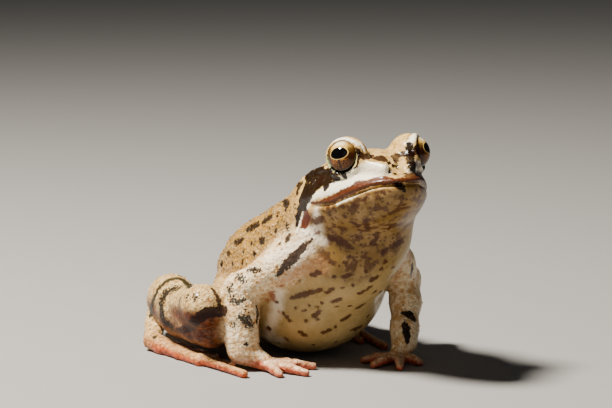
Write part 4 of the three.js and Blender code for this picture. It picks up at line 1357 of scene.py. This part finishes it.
def eyeball(side, rings=56, steps=72):
    """Points, faces and the points in the eye's own frame: x across, y up and z out of the pupil."""
    out = gaze(side)
    across = unit(np.cross(HEAD[2], out))
    upward = np.cross(out, across)
    local = [(0.0, 0.0, 1.0)]
    for i in range(1, rings):
        a = math.pi * (i / rings) ** 1.15
        for j in range(steps):
            b = 2 * math.pi * j / steps
            local.append((math.sin(a) * math.cos(b), math.sin(a) * math.sin(b), math.cos(a)))
    local.append((0.0, 0.0, -1.0))
    local = np.array(local) * (EYE_RADIUS - 0.02)
    body = eyes[side] + local[:, :1] * across + local[:, 1:2] * upward + local[:, 2:] * out
    faces = []
    for i in range(rings - 2):
        for j in range(steps):
            a, b = 1 + i * steps + j, 1 + i * steps + (j + 1) % steps
            faces += [(a, a + steps, b + steps), (a, b + steps, b)]
    last = len(local) - 1
    for j in range(steps):
        k = (j + 1) % steps
        faces += [(0, 1 + j, 1 + k), (last, last - steps + k, last - steps + j)]
    return body, np.array(faces), local


print("pupils look towards", {side: gaze(side).round(2).tolist() for side in SIDES})

# %% [markdown]
# ## The iris
# The iris of this frog is copper below and pale gold above, and darker towards both corners of the eye. A short
# dark line runs down from the pupil. All of it is flecked, and the soft borders come from the same slow noise.

# %% Iris
def size_of(tree, value):
    return sums(tree, "ABSOLUTE", value)


def iris_colours(tree, x, y, wander, fleck):
    slow = sums(tree, "SUBTRACT", wander, 0.5)
    upper = ramp(tree, sums(tree, "MULTIPLY_ADD", slow, 1.2, y), -0.35, 0.75)
    low = mixed(tree, ramp(tree, fleck, 0.42, 0.6), colour("84480c"), colour("1c0902"))
    low = mixed(tree, ramp(tree, fleck, 0.46, 0.34), low, colour("d09a40"))
    high = mixed(tree, ramp(tree, fleck, 0.46, 0.66), colour("d2a850"), colour("6e4214"))
    crown = times(tree, ramp(tree, y, 1.2, 2.2), ramp(tree, size_of(tree, x), 1.9, 0.6))
    high = mixed(tree, times(tree, crown, 0.8), high, colour("f0e2b8"))
    middle = ramp(tree, size_of(tree, sums(tree, "ADD", y, 0.2)), 2.0, 0.9)
    corners = times(tree, ramp(tree, size_of(tree, x), 1.35, 2.1), middle)
    c = mixed(tree, times(tree, corners, 0.85), mixed(tree, upper, low, high), colour("1e0d05"))
    off_line = size_of(tree, sums(tree, "MULTIPLY_ADD", wander, 0.2, sums(tree, "SUBTRACT", x, 0.1)))
    line = times(tree, ramp(tree, off_line, 0.26, 0.1), ramp(tree, y, -0.9, -1.2))
    return mixed(tree, line, c, colour("150b07"))


# %% [markdown]
# ## The eye's material
# The pupil is an oval with a bright ring round it. The iris turns brown towards its edge, and the ball is painted
# dark where the lids cover it, as painted shade. The wet surface is a clear coat over a dull eye, so only the lamp
# shows in it.

# %% Eye material
def from_middle(tree, x, y):
    return sums(tree, "SQRT", sums(tree, "ADD", times(tree, x, x), times(tree, y, y)))


PUPIL_HALF = (1.86, 1.22)  # its half-width and half-height
eye_material, tree, shader = new_material("frog_eye")
place = put(tree, "ShaderNodeAttribute", attribute_name="in_eye").outputs["Vector"]
x, y = put(tree, "ShaderNodeSeparateXYZ", {0: place}).outputs[:2]
wander, fleck = noise(tree, place, 1.3, 4.0, 0.7), noise(tree, place, 3.4, 5.0, 0.75)
c = iris_colours(tree, x, y, wander, fleck)
px = sums(tree, "DIVIDE", x, PUPIL_HALF[0])
py = sums(tree, "DIVIDE", sums(tree, "SUBTRACT", y, 0.02), PUPIL_HALF[1])
oval = sums(tree, "MULTIPLY_ADD", sums(tree, "SUBTRACT", wander, 0.5), 0.1, from_middle(tree, px, py))
c = mixed(tree, ramp(tree, size_of(tree, sums(tree, "SUBTRACT", oval, 1.06)), 0.05, 0.015), c, colour("dcb96c"))
c = mixed(tree, ramp(tree, oval, 1.02, 0.98), c, colour("050405"))
away = from_middle(tree, x, y)
c = mixed(tree, times(tree, ramp(tree, away, 2.1, 3.0), 0.75), c, colour("4a2409"))
# painted shade: the ball turns dark at its edge, where the lids cover it
c = mixed(tree, ramp(tree, away, 2.85, 3.15), c, colour("120905"))
feed(tree, shader, {"Base Color": c, "Roughness": 0.3, "Specular IOR Level": 0.0, "Coat Weight": 0.8,
                    "Coat Roughness": 0.02, "Coat IOR": 1.45})
print("eye material:", len(tree.nodes), "nodes")

# %% [markdown]
# ## The eyeballs
# Each ball is its own piece, because glass and flesh are finished apart, and it takes the place of one packed eye.

# %% Eyeballs
for side in SIDES:
    body, triangles, local = eyeball(side)
    ball = make_mesh("eyeball_" + side, body, triangles, {"in_eye": local}, eye_material)
    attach(ball, "root")
    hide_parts("eye_" + side)
    print("eyeball_" + side, len(triangles), "triangles")

# %% [markdown]
# ## Floor and light
# The frog sits on a plain pale floor. A small high lamp on the left gives sharp shade and a glint in the eye, as
# low sun does, and a large weak one from the front keeps the shade from going black.

# %% Floor and light
floor_mesh = bpy.data.meshes.new("floor")
floor_mesh.from_pydata([(-3, -3, 0), (3, -3, 0), (3, 3, 0), (-3, 3, 0)], [], [(0, 1, 2, 3)])
floor = add_object("floor", floor_mesh)
floor_material, tree, shader = new_material("plain_floor")
feed(tree, shader, {"Base Color": (0.3, 0.29, 0.275, 1), "Roughness": 0.9})
floor_mesh.materials.append(floor_material)

world = bpy.data.worlds.new("studio")
bpy.context.scene.world = world
world.use_nodes = True
feed(world.node_tree, world.node_tree.nodes["Background"], {"Color": (0.9, 0.93, 1.0, 1), "Strength": 0.05})


def lamp(name, azimuth, elevation, away, size, watts, tint):
    """An area lamp that faces the frog; azimuth is measured from the camera, to the right."""
    a, e = AZIMUTH + math.radians(azimuth), math.radians(elevation)
    towards = np.array([np.sin(a) * np.cos(e), -np.cos(a) * np.cos(e), np.sin(e)])
    light = bpy.data.lights.new(name, "AREA")
    light.shape, light.size, light.energy, light.color = "DISK", size, watts, tint
    thing = add_object(name, light)
    thing.location = Vector(towards * away + BODY_MIDDLE)
    thing.rotation_euler = Vector(towards).to_track_quat("Z", "Y").to_euler()
    print(name, "lamp at", [round(v, 2) for v in thing.location])


BODY_MIDDLE = np.array([0, 0, 0.02])
lamp("key", -68, 60, 0.6, 0.12, 14.5, (1, 0.95, 0.86))
lamp("fill", 5, 25, 0.8, 0.6, 0.2, (0.9, 0.95, 1))
